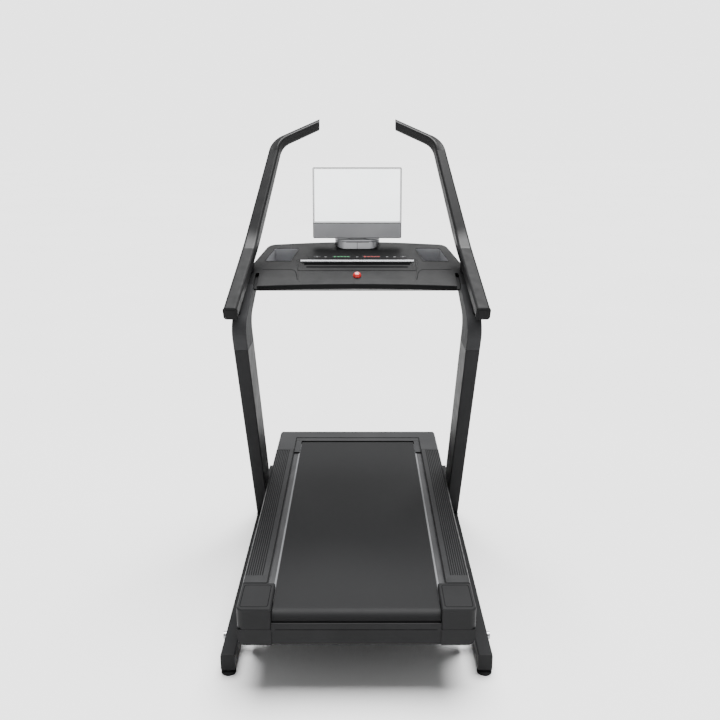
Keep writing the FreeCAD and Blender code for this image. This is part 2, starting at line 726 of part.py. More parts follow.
def insert_outline(gap=0.0):
    """The tapered centre panel below the control strip."""
    return [(-238 + gap, insert_rear_v + gap, 14), (238 - gap, insert_rear_v + gap, 14),
            (258 - gap, insert_far_v - gap, 10), (-258 + gap, insert_far_v - gap, 10)]


def console_upper_shell():
    """Top cover of the console, with a valley beside each arm and openings for what sits in it."""
    body = console_body("console_upper_shell")
    half, far = s.console_half_width, s.console_far_half_width
    arm_x = s.upright_inner_x - 0.5
    right = [(arm_x, -18, 14), (arm_x, 1), (half, 1), (half, 60, 60), (far, s.console_far_v, 45)]
    left = [(-p[0],) + tuple(p[1:]) for p in reversed(right)]
    far_middle, near_middle = (0, s.console_far_v + 39, 2500), (0, 12, 5000)
    pad(body, "XY", right + [far_middle] + left + [near_middle], -s.console_skirt, 0)
    dress(body, "Fillet", lambda b: along(b, "Z", 0) and not along(b, "Y", 1), 2.5)
    beside_valley = [(397, -16), (397, 98), (arm_x, 98), (arm_x, 1), (half, 1), (half, 60, 60),
                     (far, s.console_far_v, 45)]
    beside_left = [(-p[0],) + tuple(p[1:]) for p in reversed(beside_valley)]
    inside = inset(beside_valley + [far_middle] + beside_left + [near_middle], s.shell_wall)
    pocket(body, "XY", inside, -s.console_skirt - 1, -s.shell_wall)
    for _, sign in SIDES:
        valley = [(405, -30), (arm_x + 1, -30), (arm_x + 1, 92, 10), (405, 92, 5)]
        pocket(body, "XY", [(sign * p[0],) + tuple(p[1:]) for p in valley], -15, 1)
        pocket(body, "XY", cup_outline(sign), -s.console_skirt, 1)
    pocket(body, "XY", insert_outline(), -s.console_skirt, 1)
    panel = block(-panel_half_width, panel_half_width, panel_rear_v, panel_far_v, 5)
    pocket(body, "XY", panel, -s.console_skirt, 1)


def console_lower_shell():
    """Wedge-shaped tray under the console, open at the top, with side holes for the cross beam."""
    body = console_body("console_lower_shell")
    skirt = s.console_skirt + 0.1
    half = s.upright_inner_x - 4
    outline = [(8, -skirt), (70, -s.console_depth, 24), (330, -s.console_depth, 24), (352, -skirt)]
    pad(body, "YZ", outline, -half, half)
    dress(body, "Fillet", lambda b: (along(b, "X", half) or along(b, "X", -half)) and b.ZMax < -skirt - 1, 8)
    far_cut = [(half - 70, 360), (half + 1, 180), (half + 1, 360)]
    for _, sign in SIDES:
        pocket(body, "XY", [(sign * x, v) for x, v in far_cut], -s.console_depth - 1, 0)
    hollow(body, s.shell_wall, lambda b: along(b, "Z", -skirt))
    hole = block(beam_v - 20.5, beam_v + 20.5, beam_w - 20.5, beam_w + 20.5)
    pocket(body, "YZ", hole, -half - 1, half + 1)


def console_crossbeam():
    body = console_body("console_crossbeam")
    edge = 20
    wall = s.tube_wall
    outer = block(beam_v - edge, beam_v + edge, beam_w - edge, beam_w + edge, 4)
    inner = block(beam_v - edge + wall, beam_v + edge - wall, beam_w - edge + wall, beam_w + edge - wall)
    pad(body, "YZ", outer, -s.upright_inner_x, s.upright_inner_x)
    pocket(body, "YZ", inner, -s.upright_inner_x - 1, s.upright_inner_x + 1)


def console_center_insert():
    """Centre panel with the tablet ledge's trough and the safety key's socket."""
    body = console_body("console_center_insert")
    pad(body, "XY", insert_outline(0.8), -6, -0.3)
    trough = block(-232, 232, 118, 180, 8)
    pocket(body, "XY", trough, -3, 1)
    bore(body, "XY", (0, s.safety_key_v), s.safety_key_radius + 0.5, -4, 1)


def tablet_ledge_bar():
    """The brushed steel bar, a shallow crown, that a tablet leans on."""
    body = console_body("tablet_ledge_bar")
    crown = [(184, -0.3), (200, -0.3), (200, 4, 2), (192, 7, 8), (184, 3, 1)]
    pad(body, "YZ", crown, -240, 240)


rocker_axis_w = s.key_proud - s.key_height + 1


def key_places():
    """Middle and half width of each key in the control strip."""
    return {"incline_rocker": (-172, 15), "start_button": (-67.5, 40), "stop_button": (61, 40),
            "speed_rocker": (196, 12)}


def control_panel():
    body = console_body("control_panel")
    plate = block(-panel_half_width + 0.5, panel_half_width - 0.5, panel_rear_v + 0.5, panel_far_v - 0.5, 5)
    pad(body, "XY", plate, -3, 0.6)
    for middle, half in key_places().values():
        pocket(body, "XY", key_outline(middle, half + 0.7, 0.7), -4, 1)


def key_outline(middle, half, grow=0.0):
    v_half = 7 + grow
    return block(middle - half, middle + half, s.control_row_v - v_half, s.control_row_v + v_half, 4)


def console_keys():
    """Start and stop push straight down; the two rockers tip on a round rib under their middle."""
    for node, (middle, half) in key_places().items():
        body = console_body(node)
        pad(body, "XY", key_outline(middle, half), s.key_proud - s.key_height, s.key_proud)
        dress(body, "Fillet", lambda b: along(b, "Z", s.key_proud), 1)
        if "rocker" in node:
            disc(body, "YZ", (s.control_row_v, rocker_axis_w), 2.2, middle - half + 2, middle + half - 2)


def console_circuit_board():
    """Circuit board hung from the control strip on four posts."""
    body = console_body("console_circuit_board")
    low, high = s.control_row_v - 14, s.control_row_v + 14
    pad(body, "XY", block(-206, 206, low, high), -14, -12.4)
    for x in (-132, 132):
        for v in (low + 6, high - 6):
            disc(body, "XY", (x, v), 3, -12.4, -3)
    for x in (-110, 0, 120):
        pad(body, "XY", block(x - 12, x + 12, low + 8, high - 8), -17, -14)


def cup_holders():
    """The two open bins that hang in the console's cover."""
    body = console_body("cup_holders")
    for _, sign in SIDES:
        pad(body, "XY", cup_outline(sign, 0.3), -70, 0)
    for _, sign in SIDES:
        pocket(body, "XY", cup_outline(sign, 3), -67, 1)


def safety_key():
    """Domed pull-off key, with a stem that drops into the socket."""
    body = console_body("safety_key")
    radius = s.safety_key_radius
    add_turned(body, "Z", [(-3.7, 0), (-3.7, radius, 1), (4, radius, 2), (13, radius - 4, 8), (16, 0)])
    body.setExpression("Placement.Base.y", console_point(s.safety_key_v, 0)[0].text)
    body.setExpression("Placement.Base.z", console_point(s.safety_key_v, 0)[1].text)


# ---------------------------------------------------------------- monitor

swivel_bore = s.swivel_pin_radius + s.running_clearance
turntable_z = s.pedestal_top_z + 0.4
monitor_half = s.monitor_width / 2


def monitor_pedestal():
    """Oval hollow pedestal that stands on the console's slope and reaches down behind its far edge."""
    body = new_body("monitor_pedestal")
    half, depth, wall, top = s.pedestal_half_width, s.pedestal_half_depth, s.pedestal_wall, s.pedestal_top_z
    base_z, boss_height, seat = 1290, 11, 0.1
    pad(body, "XY", oval(half, depth), base_z, top)
    near = console_point(280, seat)
    far_y = console_point(s.console_far_v + 40, -s.console_skirt)[0]
    far_z = near[1] + tilt_slope * (far_y - near[0])
    under = [near, (far_y, far_z), (far_y, base_z - 1), (near[0], base_z - 1)]
    pocket(body, "YZ", under, -half - 1, half + 1)
    dress(body, "Fillet", lambda b: along(b, "Z", top), 3)
    pocket(body, "XY", oval(half - wall, depth - wall), base_z - 1, top - wall)
    disc(body, "XY", (0, s.swivel_y), s.swivel_pin_radius + wall, top - boss_height, top - wall)
    bore(body, "XY", (0, s.swivel_y), swivel_bore, top - boss_height - 1, top + 1)


def oval(half_width, half_depth):
    """An outline with nearly half-round ends, centred on the swivel axis."""
    return block(-half_width, half_width, s.swivel_y - half_depth, s.swivel_y + half_depth, half_depth - 1)


def swivel_neck():
    """Turning plate with its spigot and the two ears that hold the monitor's tilt pin."""
    body = new_body("swivel_neck")
    axis = (s.monitor_axis_y, s.monitor_axis_z)
    top = turntable_z + s.turntable_thickness
    pad(body, "XY", oval(s.pedestal_half_width, s.pedestal_half_depth), turntable_z, top)
    dress(body, "Fillet", lambda b: along(b, "Z", top), 2)
    disc(body, "XY", (0, s.swivel_y), s.swivel_pin_radius, turntable_z - s.swivel_pin_length, turntable_z)
    ear_radius = 11
    ear = [(axis[0] - ear_radius, top), (axis[0] + ear_radius + 4, top),
           (axis[0] + ear_radius, axis[1] + ear_radius, 10.9),
           (axis[0] - ear_radius, axis[1] + ear_radius, 10.9)]
    for _, sign in SIDES:
        pad(body, "YZ", ear, *both(sign, 31, 40))
    disc(body, "YZ", axis, s.tilt_pin_radius, -42, 42)


def monitor_body(node):
    """A body drawn from the tilt axis: x right, y away from the user, z up the screen."""
    turn = FreeCAD.Rotation(FreeCAD.Vector(1, 0, 0), -float(s.monitor_tilt))
    body = new_body(node, FreeCAD.Placement(FreeCAD.Vector(0, s.monitor_axis_y, s.monitor_axis_z), turn))
    bind_place(body, (0, s.monitor_axis_y, s.monitor_axis_z))
    return body


def screen_window(gap=0.0):
    half = monitor_half - 2.5 - gap
    return block(-half, half, 19 + gap, s.monitor_top - 2.5 - gap, 3)


def speaker_window(gap=0.0):
    half = monitor_half - 2.5 - gap
    return block(-half, half, s.monitor_bottom + 2.5 + gap, 16 - gap, 3)


def monitor_shell():
    """Rear casing, with the barrel that turns on the tilt pin."""
    body = monitor_body("monitor_shell")
    case = block(-monitor_half, monitor_half, s.monitor_bottom, s.monitor_top, 6)
    front = s.monitor_front + s.bezel_thickness
    pad(body, "XZ", case, front, s.monitor_back)
    dress(body, "Fillet", lambda b: along(b, "Y", s.monitor_back), 5)
    hollow(body, s.shell_wall, lambda b: along(b, "Y", front))
    pad(body, "XZ", block(-28, 28, -10, 10), s.monitor_back - 1, 0)
    disc(body, "YZ", (0, 0), 11, -30, 30)
    bore(body, "YZ", (0, 0), s.tilt_pin_radius + s.running_clearance, -31, 31)


def monitor_bezel():
    body = monitor_body("monitor_bezel")
    front, back = s.monitor_front, s.monitor_front + s.bezel_thickness
    pad(body, "XZ", block(-monitor_half, monitor_half, s.monitor_bottom, s.monitor_top, 6), front, back)
    pocket(body, "XZ", screen_window(), front - 1, back + 1)
    pocket(body, "XZ", speaker_window(), front - 1, back + 1)


def monitor_fronts():
    """The screen glass and, below it, the speaker panel."""
    front = s.monitor_front
    glass = monitor_body("screen_glass")
    pad(glass, "XZ", screen_window(0.2), front + 0.4, front + 3.4)
    speaker = monitor_body("speaker_panel")
    pad(speaker, "XZ", speaker_window(0.2), front + 0.2, front + 4)
    for _, sign in SIDES:
        disc(speaker, "XZ", (sign * 110, -15), 24, front + 4, front + 22)


# ---------------------------------------------------------------- deck

side_tube_outer_x = s.side_tube_inner_x + s.side_tube_width
side_tube_top_z = s.side_tube_bottom_z + s.side_tube_height
lug_inner_x = side_tube_outer_x
lug_outer_x = lug_inner_x + 12
belt_inner_radius = s.roller_radius + s.roller_gap
belt_outer_radius = belt_inner_radius + s.belt_thickness
belt_under_z = s.roller_z + belt_inner_radius
shaft_bore = s.shaft_radius + s.running_clearance


def deck_frame(side, sign):
    """Side tube of the deck with its welded pivot lug."""
    body = new_body(f"deck_frame_{side}")
    x_low, x_high = both(sign, s.side_tube_inner_x, side_tube_outer_x)
    y_low, y_high, wall = s.deck_rear_y + 28, 850, s.tube_wall
    z_low, z_high = s.side_tube_bottom_z, side_tube_top_z
    pad(body, "XZ", block(x_low, x_high, z_low, z_high, 5), y_low, y_high)
    inside = block(x_low + wall, x_high - wall, z_low + wall, z_high - wall, 2)
    pocket(body, "XZ", inside, y_low - 1, y_high + 1)
    for y in (s.rear_roller_y, s.front_roller_y):
        bore(body, "YZ", (y, s.roller_z), s.shaft_radius, x_low - 1, x_high + 1)
    reach = 28
    lug = [(s.pivot_y - reach, s.pivot_z - reach, reach - 0.1),
           (s.pivot_y + reach, s.pivot_z - reach, reach - 0.1),
           (s.pivot_y + reach + 32, z_high - 8), (s.pivot_y - reach - 32, z_high - 8)]
    lug_span = both(sign, lug_inner_x, lug_outer_x)
    pad(body, "YZ", lug, *lug_span)
    bore(body, "YZ", (s.pivot_y, s.pivot_z), pivot_bore, lug_span[0] - 1, lug_span[1] + 1)


def deck_cross_members():
    """Three tubes between the belt's runs, and the lift beam below them with its ears and pin."""
    body = new_body("deck_cross_members")
    inner = s.side_tube_inner_x
    for y in cross_member_places:
        pad(body, "YZ", block(y - 20, y + 20, cross_low_z, cross_high_z, 3), -inner, inner)
    beam_y, beam_top = s.lift_deck_y - 75, s.side_tube_bottom_z
    beam = block(beam_y, beam_y + 40, beam_top - 30, beam_top, 3)
    pad(body, "YZ", beam, -side_tube_outer_x, side_tube_outer_x)
    for y in cross_member_places:
        pocket(body, "YZ", block(y - 17, y + 17, cross_low_z + 3, cross_high_z - 3), -inner - 1, inner + 1)
    pocket(body, "YZ", block(beam_y + 3, beam_y + 37, beam_top - 27, beam_top - 3),
           -side_tube_outer_x - 1, side_tube_outer_x + 1)
    ear = [(beam_y + 40, beam_top - 30), (s.lift_deck_y + 16, beam_top - 34, 12),
           (s.lift_deck_y + 16, beam_top - 2, 12), (beam_y + 40, beam_top - 2)]
    for _, sign in SIDES:
        pad(body, "YZ", ear, *both(sign, 22, 30))
    disc(body, "YZ", (s.lift_deck_y, s.lift_deck_z), s.lift_pin_radius, -34, 34)


cross_member_places = (-560, -60, 440)
cross_low_z, cross_high_z = 229, 255


def deck_board():
    body = new_body("deck_board")
    half = s.board_half_width
    y_low, y_high = s.rear_roller_y + belt_outer_radius + 10, s.front_roller_y - belt_outer_radius - 10
    pad(body, "XY", block(-half, half, y_low, y_high, 8), belt_under_z - s.board_thickness, belt_under_z)


def deck_cushions():
    """Rubber cushions between the cross tubes and the board."""
    body = new_body("deck_cushions")
    for y in cross_member_places:
        for x in (-265, 0, 265):
            disc(body, "XY", (x, y), 18, cross_high_z, belt_under_z - s.board_thickness)


def tread_belt():
    body = new_body("tread_belt")
    half = s.belt_half_width
    for kind, radius, reach in (("Pad", belt_outer_radius, 0), ("Pocket", belt_inner_radius, 1)):
        extrusion(body, kind, "YZ", lambda sketch: draw_slot(sketch, s.rear_roller_y, s.front_roller_y,
                                                             s.roller_z, radius), -half - reach, half + reach)


def foot_rail(side, sign):
    """Grooved aluminium rail to stand on, with an outer skirt and an inner lip over the belt's edge."""
    body = new_body(f"foot_rail_{side}")
    inner, outer, top, thick = s.opening_half_width, s.deck_half_width, s.deck_top_z, 5
    profile = [(inner, belt_under_z + 2), (inner + thick, belt_under_z + 2), (inner + thick, top - thick),
               (outer - thick, top - thick, 3), (outer - thick, 205), (outer, 205), (outer, top, 8),
               (inner, top, 4)]
    pad(body, "XZ", [(sign * p[0],) + tuple(p[1:]) for p in profile], s.rear_cap_front_y, s.hood_rear_y - 1)
    first = 330
    groove = block(*both(sign, first, first + s.groove_width), top - s.groove_depth, top + 1)
    cut = pocket(body, "XZ", groove, s.rear_cap_front_y + 49, s.hood_rear_y - 14)
    pattern = body.newObject("PartDesign::LinearPattern", f"{body.Name}_grooves")
    pattern.Originals = [cut]
    pattern.Direction = (cut.Profile[0], ["H_Axis"])
    pattern.Reversed = sign < 0
    bind(pattern, "Length", s.groove_pitch * (s.groove_count - 1))
    pattern.setExpression("Occurrences", s.groove_count.text)
    volume = body.Shape.Volume
    body.Tip = pattern
    document.recompute()
    assert body.Shape.Volume < volume - 1, "the groove pattern cuts nothing"


def motor_hood():
    """Front cover: a flat rim round the belt's front end that slopes down over the motor."""
    body = new_body("motor_hood")
    half, top, wall = s.deck_half_width, s.deck_top_z, s.shell_wall
    rear, front, low = s.hood_rear_y, s.hood_front_y, 205
    bend_y, bend = front - 110, 90
    profile = [(rear, low), (front, low), (front, s.hood_front_z, 22), (bend_y, top, bend), (rear, top)]
    pad(body, "YZ", profile, -half, half)

    def on_nose(b):
        return b.XLength < 0.1 and (b.ZMin > s.hood_front_z - 30 or b.YMin > front - 0.1)

    dress(body, "Fillet", on_nose, 13)
    for reach, depth in ((half - wall - 2, 10), (half - 18, wall)):
        inside = [(rear - 1, low - 1), (front - depth, low - 1), (front - depth, s.hood_front_z - wall, 18),
                  (bend_y, top - wall - 2, bend), (rear - 1, top - wall - 2)]
        pocket(body, "YZ", inside, -reach, reach)
    hood_tray(body)


def hood_tray(body):
    """The sunken rim round the belt: a wall down from the top and a flange that just clears the belt."""
    inner, top, rear, front = s.opening_half_width, s.deck_top_z, s.hood_rear_y, s.hood_opening_y
    flange_low, flange_high = belt_under_z + s.belt_thickness + 2, belt_under_z + s.belt_thickness + 5
    around = [(-inner - 4, rear), (inner + 4, rear), (inner + 4, front + 4, 5), (-inner - 4, front + 4, 5)]
    pad(body, "XY", around, flange_low, top - 4)
    pocket(body, "XY", block(-inner, inner, rear - 20, front, 5), flange_high, top + 1)
    edge = s.belt_half_width + 3
    pocket(body, "XY", block(-edge, edge, rear - 20, front - 8, 5), flange_low - 1, flange_high + 1)


def motor_pan():
    """Open tray under the motor."""
    body = new_body("motor_pan")
    half, floor, front = s.side_tube_inner_x + 60, s.pan_bottom_z, s.hood_front_y - 4
    rear = s.front_roller_y + belt_outer_radius + 8
    pad(body, "XY", block(-half, half, rear, front, 20), floor, floor + 30)
    hollow(body, s.shell_wall, lambda b: along(b, "Z", floor + 30))


rear_inner_x = s.belt_half_width + 1.5


def rear_cap(side, sign):
    """Cover of a rear corner: a roof over the belt's edge, with walls outside, behind and beside the belt."""
    body = new_body(f"rear_cap_{side}")
    outer, top, rear, front = s.deck_half_width, s.deck_top_z, s.deck_rear_y, s.rear_cap_front_y - 1
    plan = [(outer, front), (rear_inner_x, front, 6), (rear_inner_x, rear, 6), (outer, rear, 24)]
    pad(body, "XY", [(sign * p[0],) + tuple(p[1:]) for p in plan], s.deck_seam_z + 1, top)
    dress(body, "Chamfer", lambda b: along(b, "Z", top) and b.YMax < rear + 26, 4, "Size")
    wall = 4
    cavity = [(outer - wall, front + 1), (rear_inner_x + wall, front + 1), (rear_inner_x + wall, rear + wall),
              (outer - wall, rear + wall, 20)]
    pocket(body, "XY", [(sign * p[0],) + tuple(p[1:]) for p in cavity], s.deck_seam_z, top - 5)
    board_rear_y = s.rear_roller_y + belt_outer_radius + 8
    inner_wall = both(sign, rear_inner_x - 1, rear_inner_x + wall + 1)
    pocket(body, "XY", block(*inner_wall, board_rear_y, front + 2), s.deck_seam_z, belt_under_z + 4)
    bore(body, "YZ", (s.rear_roller_y, s.roller_z), 15, *inner_wall)


def rear_skirts():
    """Lower rear corners, rounded under the deck's outer edges."""
    body = new_body("rear_skirts")
    inner, outer, rear, front = rear_inner_x, s.deck_half_width, s.deck_rear_y, s.rear_cap_front_y - 1
    low, high, wall = s.deck_bottom_z, s.deck_seam_z, 4
    for _, sign in SIDES:
        section = [(inner, low), (outer - 6, low, 26), (outer, high), (inner, high)]
        pad(body, "XZ", [(sign * p[0],) + tuple(p[1:]) for p in section], rear, front)
        inside = [(inner - 4, low + wall), (outer - 6 - wall, low + wall, 22), (outer - wall, high + 1),
                  (inner - 4, high + 1)]
        pocket(body, "XZ", [(sign * p[0],) + tuple(p[1:]) for p in inside], rear + wall, front + 1)


def rear_cross_cover():
    """Cover across the back, below the belt's rear turn."""
    body = new_body("rear_cross_cover")
    rear, low, half = s.deck_rear_y, s.deck_bottom_z, rear_inner_x - 0.6
    section = [(rear + 3, low, 4), (rear + 90, low), (rear + 90, low + 4), (rear + 7, low + 4, 3),
               (rear + 7, 234), (rear + 4, 234), (rear + 4, 262), (rear, 262, 2), (rear, 232),
               (rear + 3, 232)]
    pad(body, "YZ", section, -half, half)


def roller_axles():
    body = new_body("roller_axles")
    reach = side_tube_outer_x + 4
    for y in (s.rear_roller_y, s.front_roller_y):
        disc(body, "YZ", (y, s.roller_z), s.shaft_radius, -reach, reach)


def roller(node, y, pulley):
    """A turned roller on its axle; the front one carries the drive pulley at its left end."""
    half, radius, low = s.roller_half_length, s.roller_radius, -s.roller_half_length
    outline = [(half, shaft_bore), (half, 14), (half - 3, radius, 3), (low + 3, radius, 3)]
    if pulley:
        pulley_outer_x = s.pulley_inner_x + s.pulley_width
        rim = s.pulley_radius
        outline += [(low, 22), (-s.pulley_inner_x, 22), (-s.pulley_inner_x, rim + 3),
                    (-s.pulley_inner_x - 2, rim + 3),
                    (-s.pulley_inner_x - 2, rim), (2 - pulley_outer_x, rim), (2 - pulley_outer_x, rim + 3),
                    (-pulley_outer_x, rim + 3), (-pulley_outer_x, shaft_bore)]
    else:
        outline += [(low, 14), (low, shaft_bore)]
    turned(node, "X", outline, (0, y, s.roller_z))


# ---------------------------------------------------------------- drive

def drive_motor():
    """Motor housing with end bells, bolted to the pan by its feet."""
    body = new_body("drive_motor")
    centre, x_low, x_high = (s.motor_y, s.motor_z), -250, 40
    disc(body, "YZ", centre, s.motor_radius, x_low, x_high)
    dress(body, "Fillet", lambda b: along(b, "X", x_low) or along(b, "X", x_high), 8)
    floor = s.pan_bottom_z + s.shell_wall
    foot = [(s.motor_y - 44, floor), (s.motor_y + 44, floor), (s.motor_y + 44, floor + 8),
            (s.motor_y + 20, floor + 14), (s.motor_y - 20, floor + 14), (s.motor_y - 44, floor + 8)]
    for low in (x_low + 20, x_high - 50):
        pad(body, "YZ", foot, low, low + 30)
    bore(body, "YZ", centre, s.motor_radius - 6, x_low + 12, x_high - 12)
    bore(body, "YZ", centre, shaft_bore, x_low - 1, x_high + 1)


def motor_shaft():
    """Armature, flywheel and drive pulley on one shaft."""
    outer_x = -s.pulley_inner_x - s.pulley_width
    rim, wheel = s.motor_pulley_radius, s.flywheel_radius
    outline = [(outer_x, 0), (outer_x, rim + 2), (outer_x + 2, rim + 2), (outer_x + 2, rim),
               (-s.pulley_inner_x - 2, rim), (-s.pulley_inner_x - 2, rim + 2), (-s.pulley_inner_x, rim + 2),
               (-s.pulley_inner_x, 11), (-288, 11), (-288, wheel, 3), (-260, wheel, 3),
               (-260, s.shaft_radius), (-230, s.shaft_radius), (-230, 30), (20, 30), (20, s.shaft_radius),
               (60, s.shaft_radius), (60, 0)]
    turned("motor_shaft", "X", outline, (0, s.motor_y, s.motor_z))


def drive_belt():
    """Belt round the two pulleys: two arcs joined by the lines that touch both."""
    big, small = s.pulley_radius + s.roller_gap, s.motor_pulley_radius + s.roller_gap
    high = FreeCAD.Vector(0, s.front_roller_y, s.roller_z)
    low = FreeCAD.Vector(0, s.motor_y, s.motor_z)
    width = s.pulley_width - 6

    def loop(grow):
        reach = low - high
        lead = math.atan2(reach.z, reach.y)
        spread = math.acos((big - small) / reach.Length)
        spots = []
        for centre, radius in ((high, big + grow), (low, small + grow)):
            for angle in (lead + spread, lead - spread):
                spots.append(centre + FreeCAD.Vector(0, math.cos(angle), math.sin(angle)) * radius)
        back = high - FreeCAD.Vector(0, math.cos(lead), math.sin(lead)) * (big + grow)
        front = low + FreeCAD.Vector(0, math.cos(lead), math.sin(lead)) * (small + grow)
        edges = [Part.Arc(spots[0], back, spots[1]), Part.LineSegment(spots[1], spots[3]),
                 Part.Arc(spots[3], front, spots[2]), Part.LineSegment(spots[2], spots[0])]
        return Part.Face(Part.Wire([edge.toShape() for edge in edges]))

    span = FreeCAD.Vector(width, 0, 0)
    band = loop(3).extrude(span).cut(loop(0).extrude(span))
    start = -s.pulley_inner_x - s.pulley_width + 3
    shape_piece("drive_belt", band, FreeCAD.Placement(FreeCAD.Vector(start, 0, 0), FreeCAD.Rotation()))


# ---------------------------------------------------------------- lift actuator

def lift_body(node):
    """A body drawn along the actuator: x along its axis from the lower pin, y across, z normal."""
    reach_y, reach_z = s.lift_deck_y - s.lift_base_y, s.lift_deck_z - s.lift_base_z
    angle = math.degrees(math.atan2(reach_z, reach_y))
    turn = FreeCAD.Rotation(FreeCAD.Vector(1, 0, 0), angle)
    lie_along_y = FreeCAD.Rotation(FreeCAD.Vector(0, 0, 1), 90)
    body = new_body(node, FreeCAD.Placement(FreeCAD.Vector(0, s.lift_base_y, s.lift_base_z),
                                            turn.multiply(lie_along_y)))
    bind_place(body, (0, s.lift_base_y, s.lift_base_z))
    return body


def actuator_body():
    """Lower lug, gear case with its motor alongside, and the outer tube."""
    body = lift_body("actuator_body")
    disc(body, "XZ", (0, 0), 17, -26, 26)
    pad(body, "XZ", [(0, -17), (60, -24, 6), (60, 24, 6), (0, 17)], -26, 26)
    pad(body, "XZ", [(44, -26, 6), (84, -26, 6), (84, 26, 6), (44, 26, 6)], -94, 26)
    disc(body, "YZ", (-62, 0), 27, 84, 190)
    disc(body, "YZ", (0, 0), s.lift_tube_radius, 84, 215)
    bore(body, "YZ", (0, 0), s.lift_rod_radius + s.running_clearance, 45, 216)
    bore(body, "XZ", (0, 0), s.lift_pin_radius + s.running_clearance, -27, 27)


def actuator_rod():
    """Push rod with an eye that is wider than the pin in the deck's ears."""
    body = lift_body("actuator_rod")
    length = Size(290.0, "sqrt(({0})^2 + ({1})^2)".format((s.lift_deck_y - s.lift_base_y).text,
                                                          (s.lift_deck_z - s.lift_base_z).text))
    eye = s.lift_eye_radius
    disc(body, "YZ", (0, 0), s.lift_rod_radius, 75, length - eye - 2)
    disc(body, "XZ", (length, 0), eye + 9, -18, 18)
    bore(body, "XZ", (length, 0), eye, -19, 19)


# ---------------------------------------------------------------- build and write

def build():
    for side, sign in SIDES:
        base_rail(side, sign)
        levelling_foot(side, sign)
        transport_wheel(side, sign)
        upright(side, sign)
        console_arm(side, sign)
        deck_frame(side, sign)
        foot_rail(side, sign)
        rear_cap(side, sign)
    for make in (rail_end_caps, base_front_tube, base_middle_tube, pivot_bolts, frame_bolts, handlebars,
                 handlebar_brackets, console_upper_shell, console_lower_shell, console_crossbeam,
                 console_center_insert, tablet_ledge_bar, control_panel, console_keys,
                 console_circuit_board, cup_holders, safety_key, monitor_pedestal, swivel_neck,
                 monitor_shell, monitor_bezel, monitor_fronts, deck_cross_members, deck_board,
                 deck_cushions, tread_belt, motor_hood, motor_pan, rear_skirts, rear_cross_cover,
                 roller_axles, drive_motor, motor_shaft, drive_belt, actuator_body, actuator_rod):
        make()
    roller("front_roller", s.front_roller_y, True)
    roller("rear_roller", s.rear_roller_y, False)


def check_and_write():
    document.recompute()
    for item in document.Objects:
        assert "Invalid" not in item.State and "Error" not in item.State, f"{item.Name} failed"
    os.makedirs("parts", exist_ok=True)
    for piece in pieces:
        shape = piece.Shape
        assert not shape.isNull() and shape.isValid() and shape.Volume > 0, f"{piece.Label} is not a solid"
        shape.exportStep(f"parts/{piece.Label}.step")


build()
check_and_write()
print(len(pieces), "pieces")
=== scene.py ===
import math

import bmesh
import bpy
from mathutils import Matrix, Vector


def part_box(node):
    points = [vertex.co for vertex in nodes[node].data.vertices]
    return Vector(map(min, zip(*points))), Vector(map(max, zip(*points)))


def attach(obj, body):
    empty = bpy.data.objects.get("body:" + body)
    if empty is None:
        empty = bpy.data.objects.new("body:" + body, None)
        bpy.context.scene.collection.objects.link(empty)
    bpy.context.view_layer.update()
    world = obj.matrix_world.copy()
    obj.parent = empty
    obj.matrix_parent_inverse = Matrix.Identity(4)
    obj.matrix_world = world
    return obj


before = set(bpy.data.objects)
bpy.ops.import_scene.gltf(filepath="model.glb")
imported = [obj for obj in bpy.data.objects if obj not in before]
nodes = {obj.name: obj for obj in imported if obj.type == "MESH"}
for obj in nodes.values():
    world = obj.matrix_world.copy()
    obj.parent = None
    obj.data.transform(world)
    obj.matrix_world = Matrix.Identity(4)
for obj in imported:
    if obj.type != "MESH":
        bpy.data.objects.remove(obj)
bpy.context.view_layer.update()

# Reference frames that the CAD draws in: the console's sloping top face and the screen's tilt axis.
CONSOLE_TILT = math.radians(19.5)
CONSOLE_EDGE = Vector((0, 0.058, 1.217))
SCREEN_TILT = math.radians(6)
SCREEN_AXIS = Vector((0, 0.392, 1.408))
SWIVEL_Y = 0.395
PEDESTAL_HALF = (0.0975, 0.050)
CONSOLE = Matrix.Translation(CONSOLE_EDGE) @ Matrix.Rotation(CONSOLE_TILT, 4, "X")
SCREEN = Matrix.Translation(SCREEN_AXIS) @ Matrix.Rotation(-SCREEN_TILT, 4, "X")
FACING_USER = Matrix.Rotation(math.pi / 2, 4, "X")
SIDES = (("left", -1), ("right", 1))


# ---------------------------------------------------------------- materials

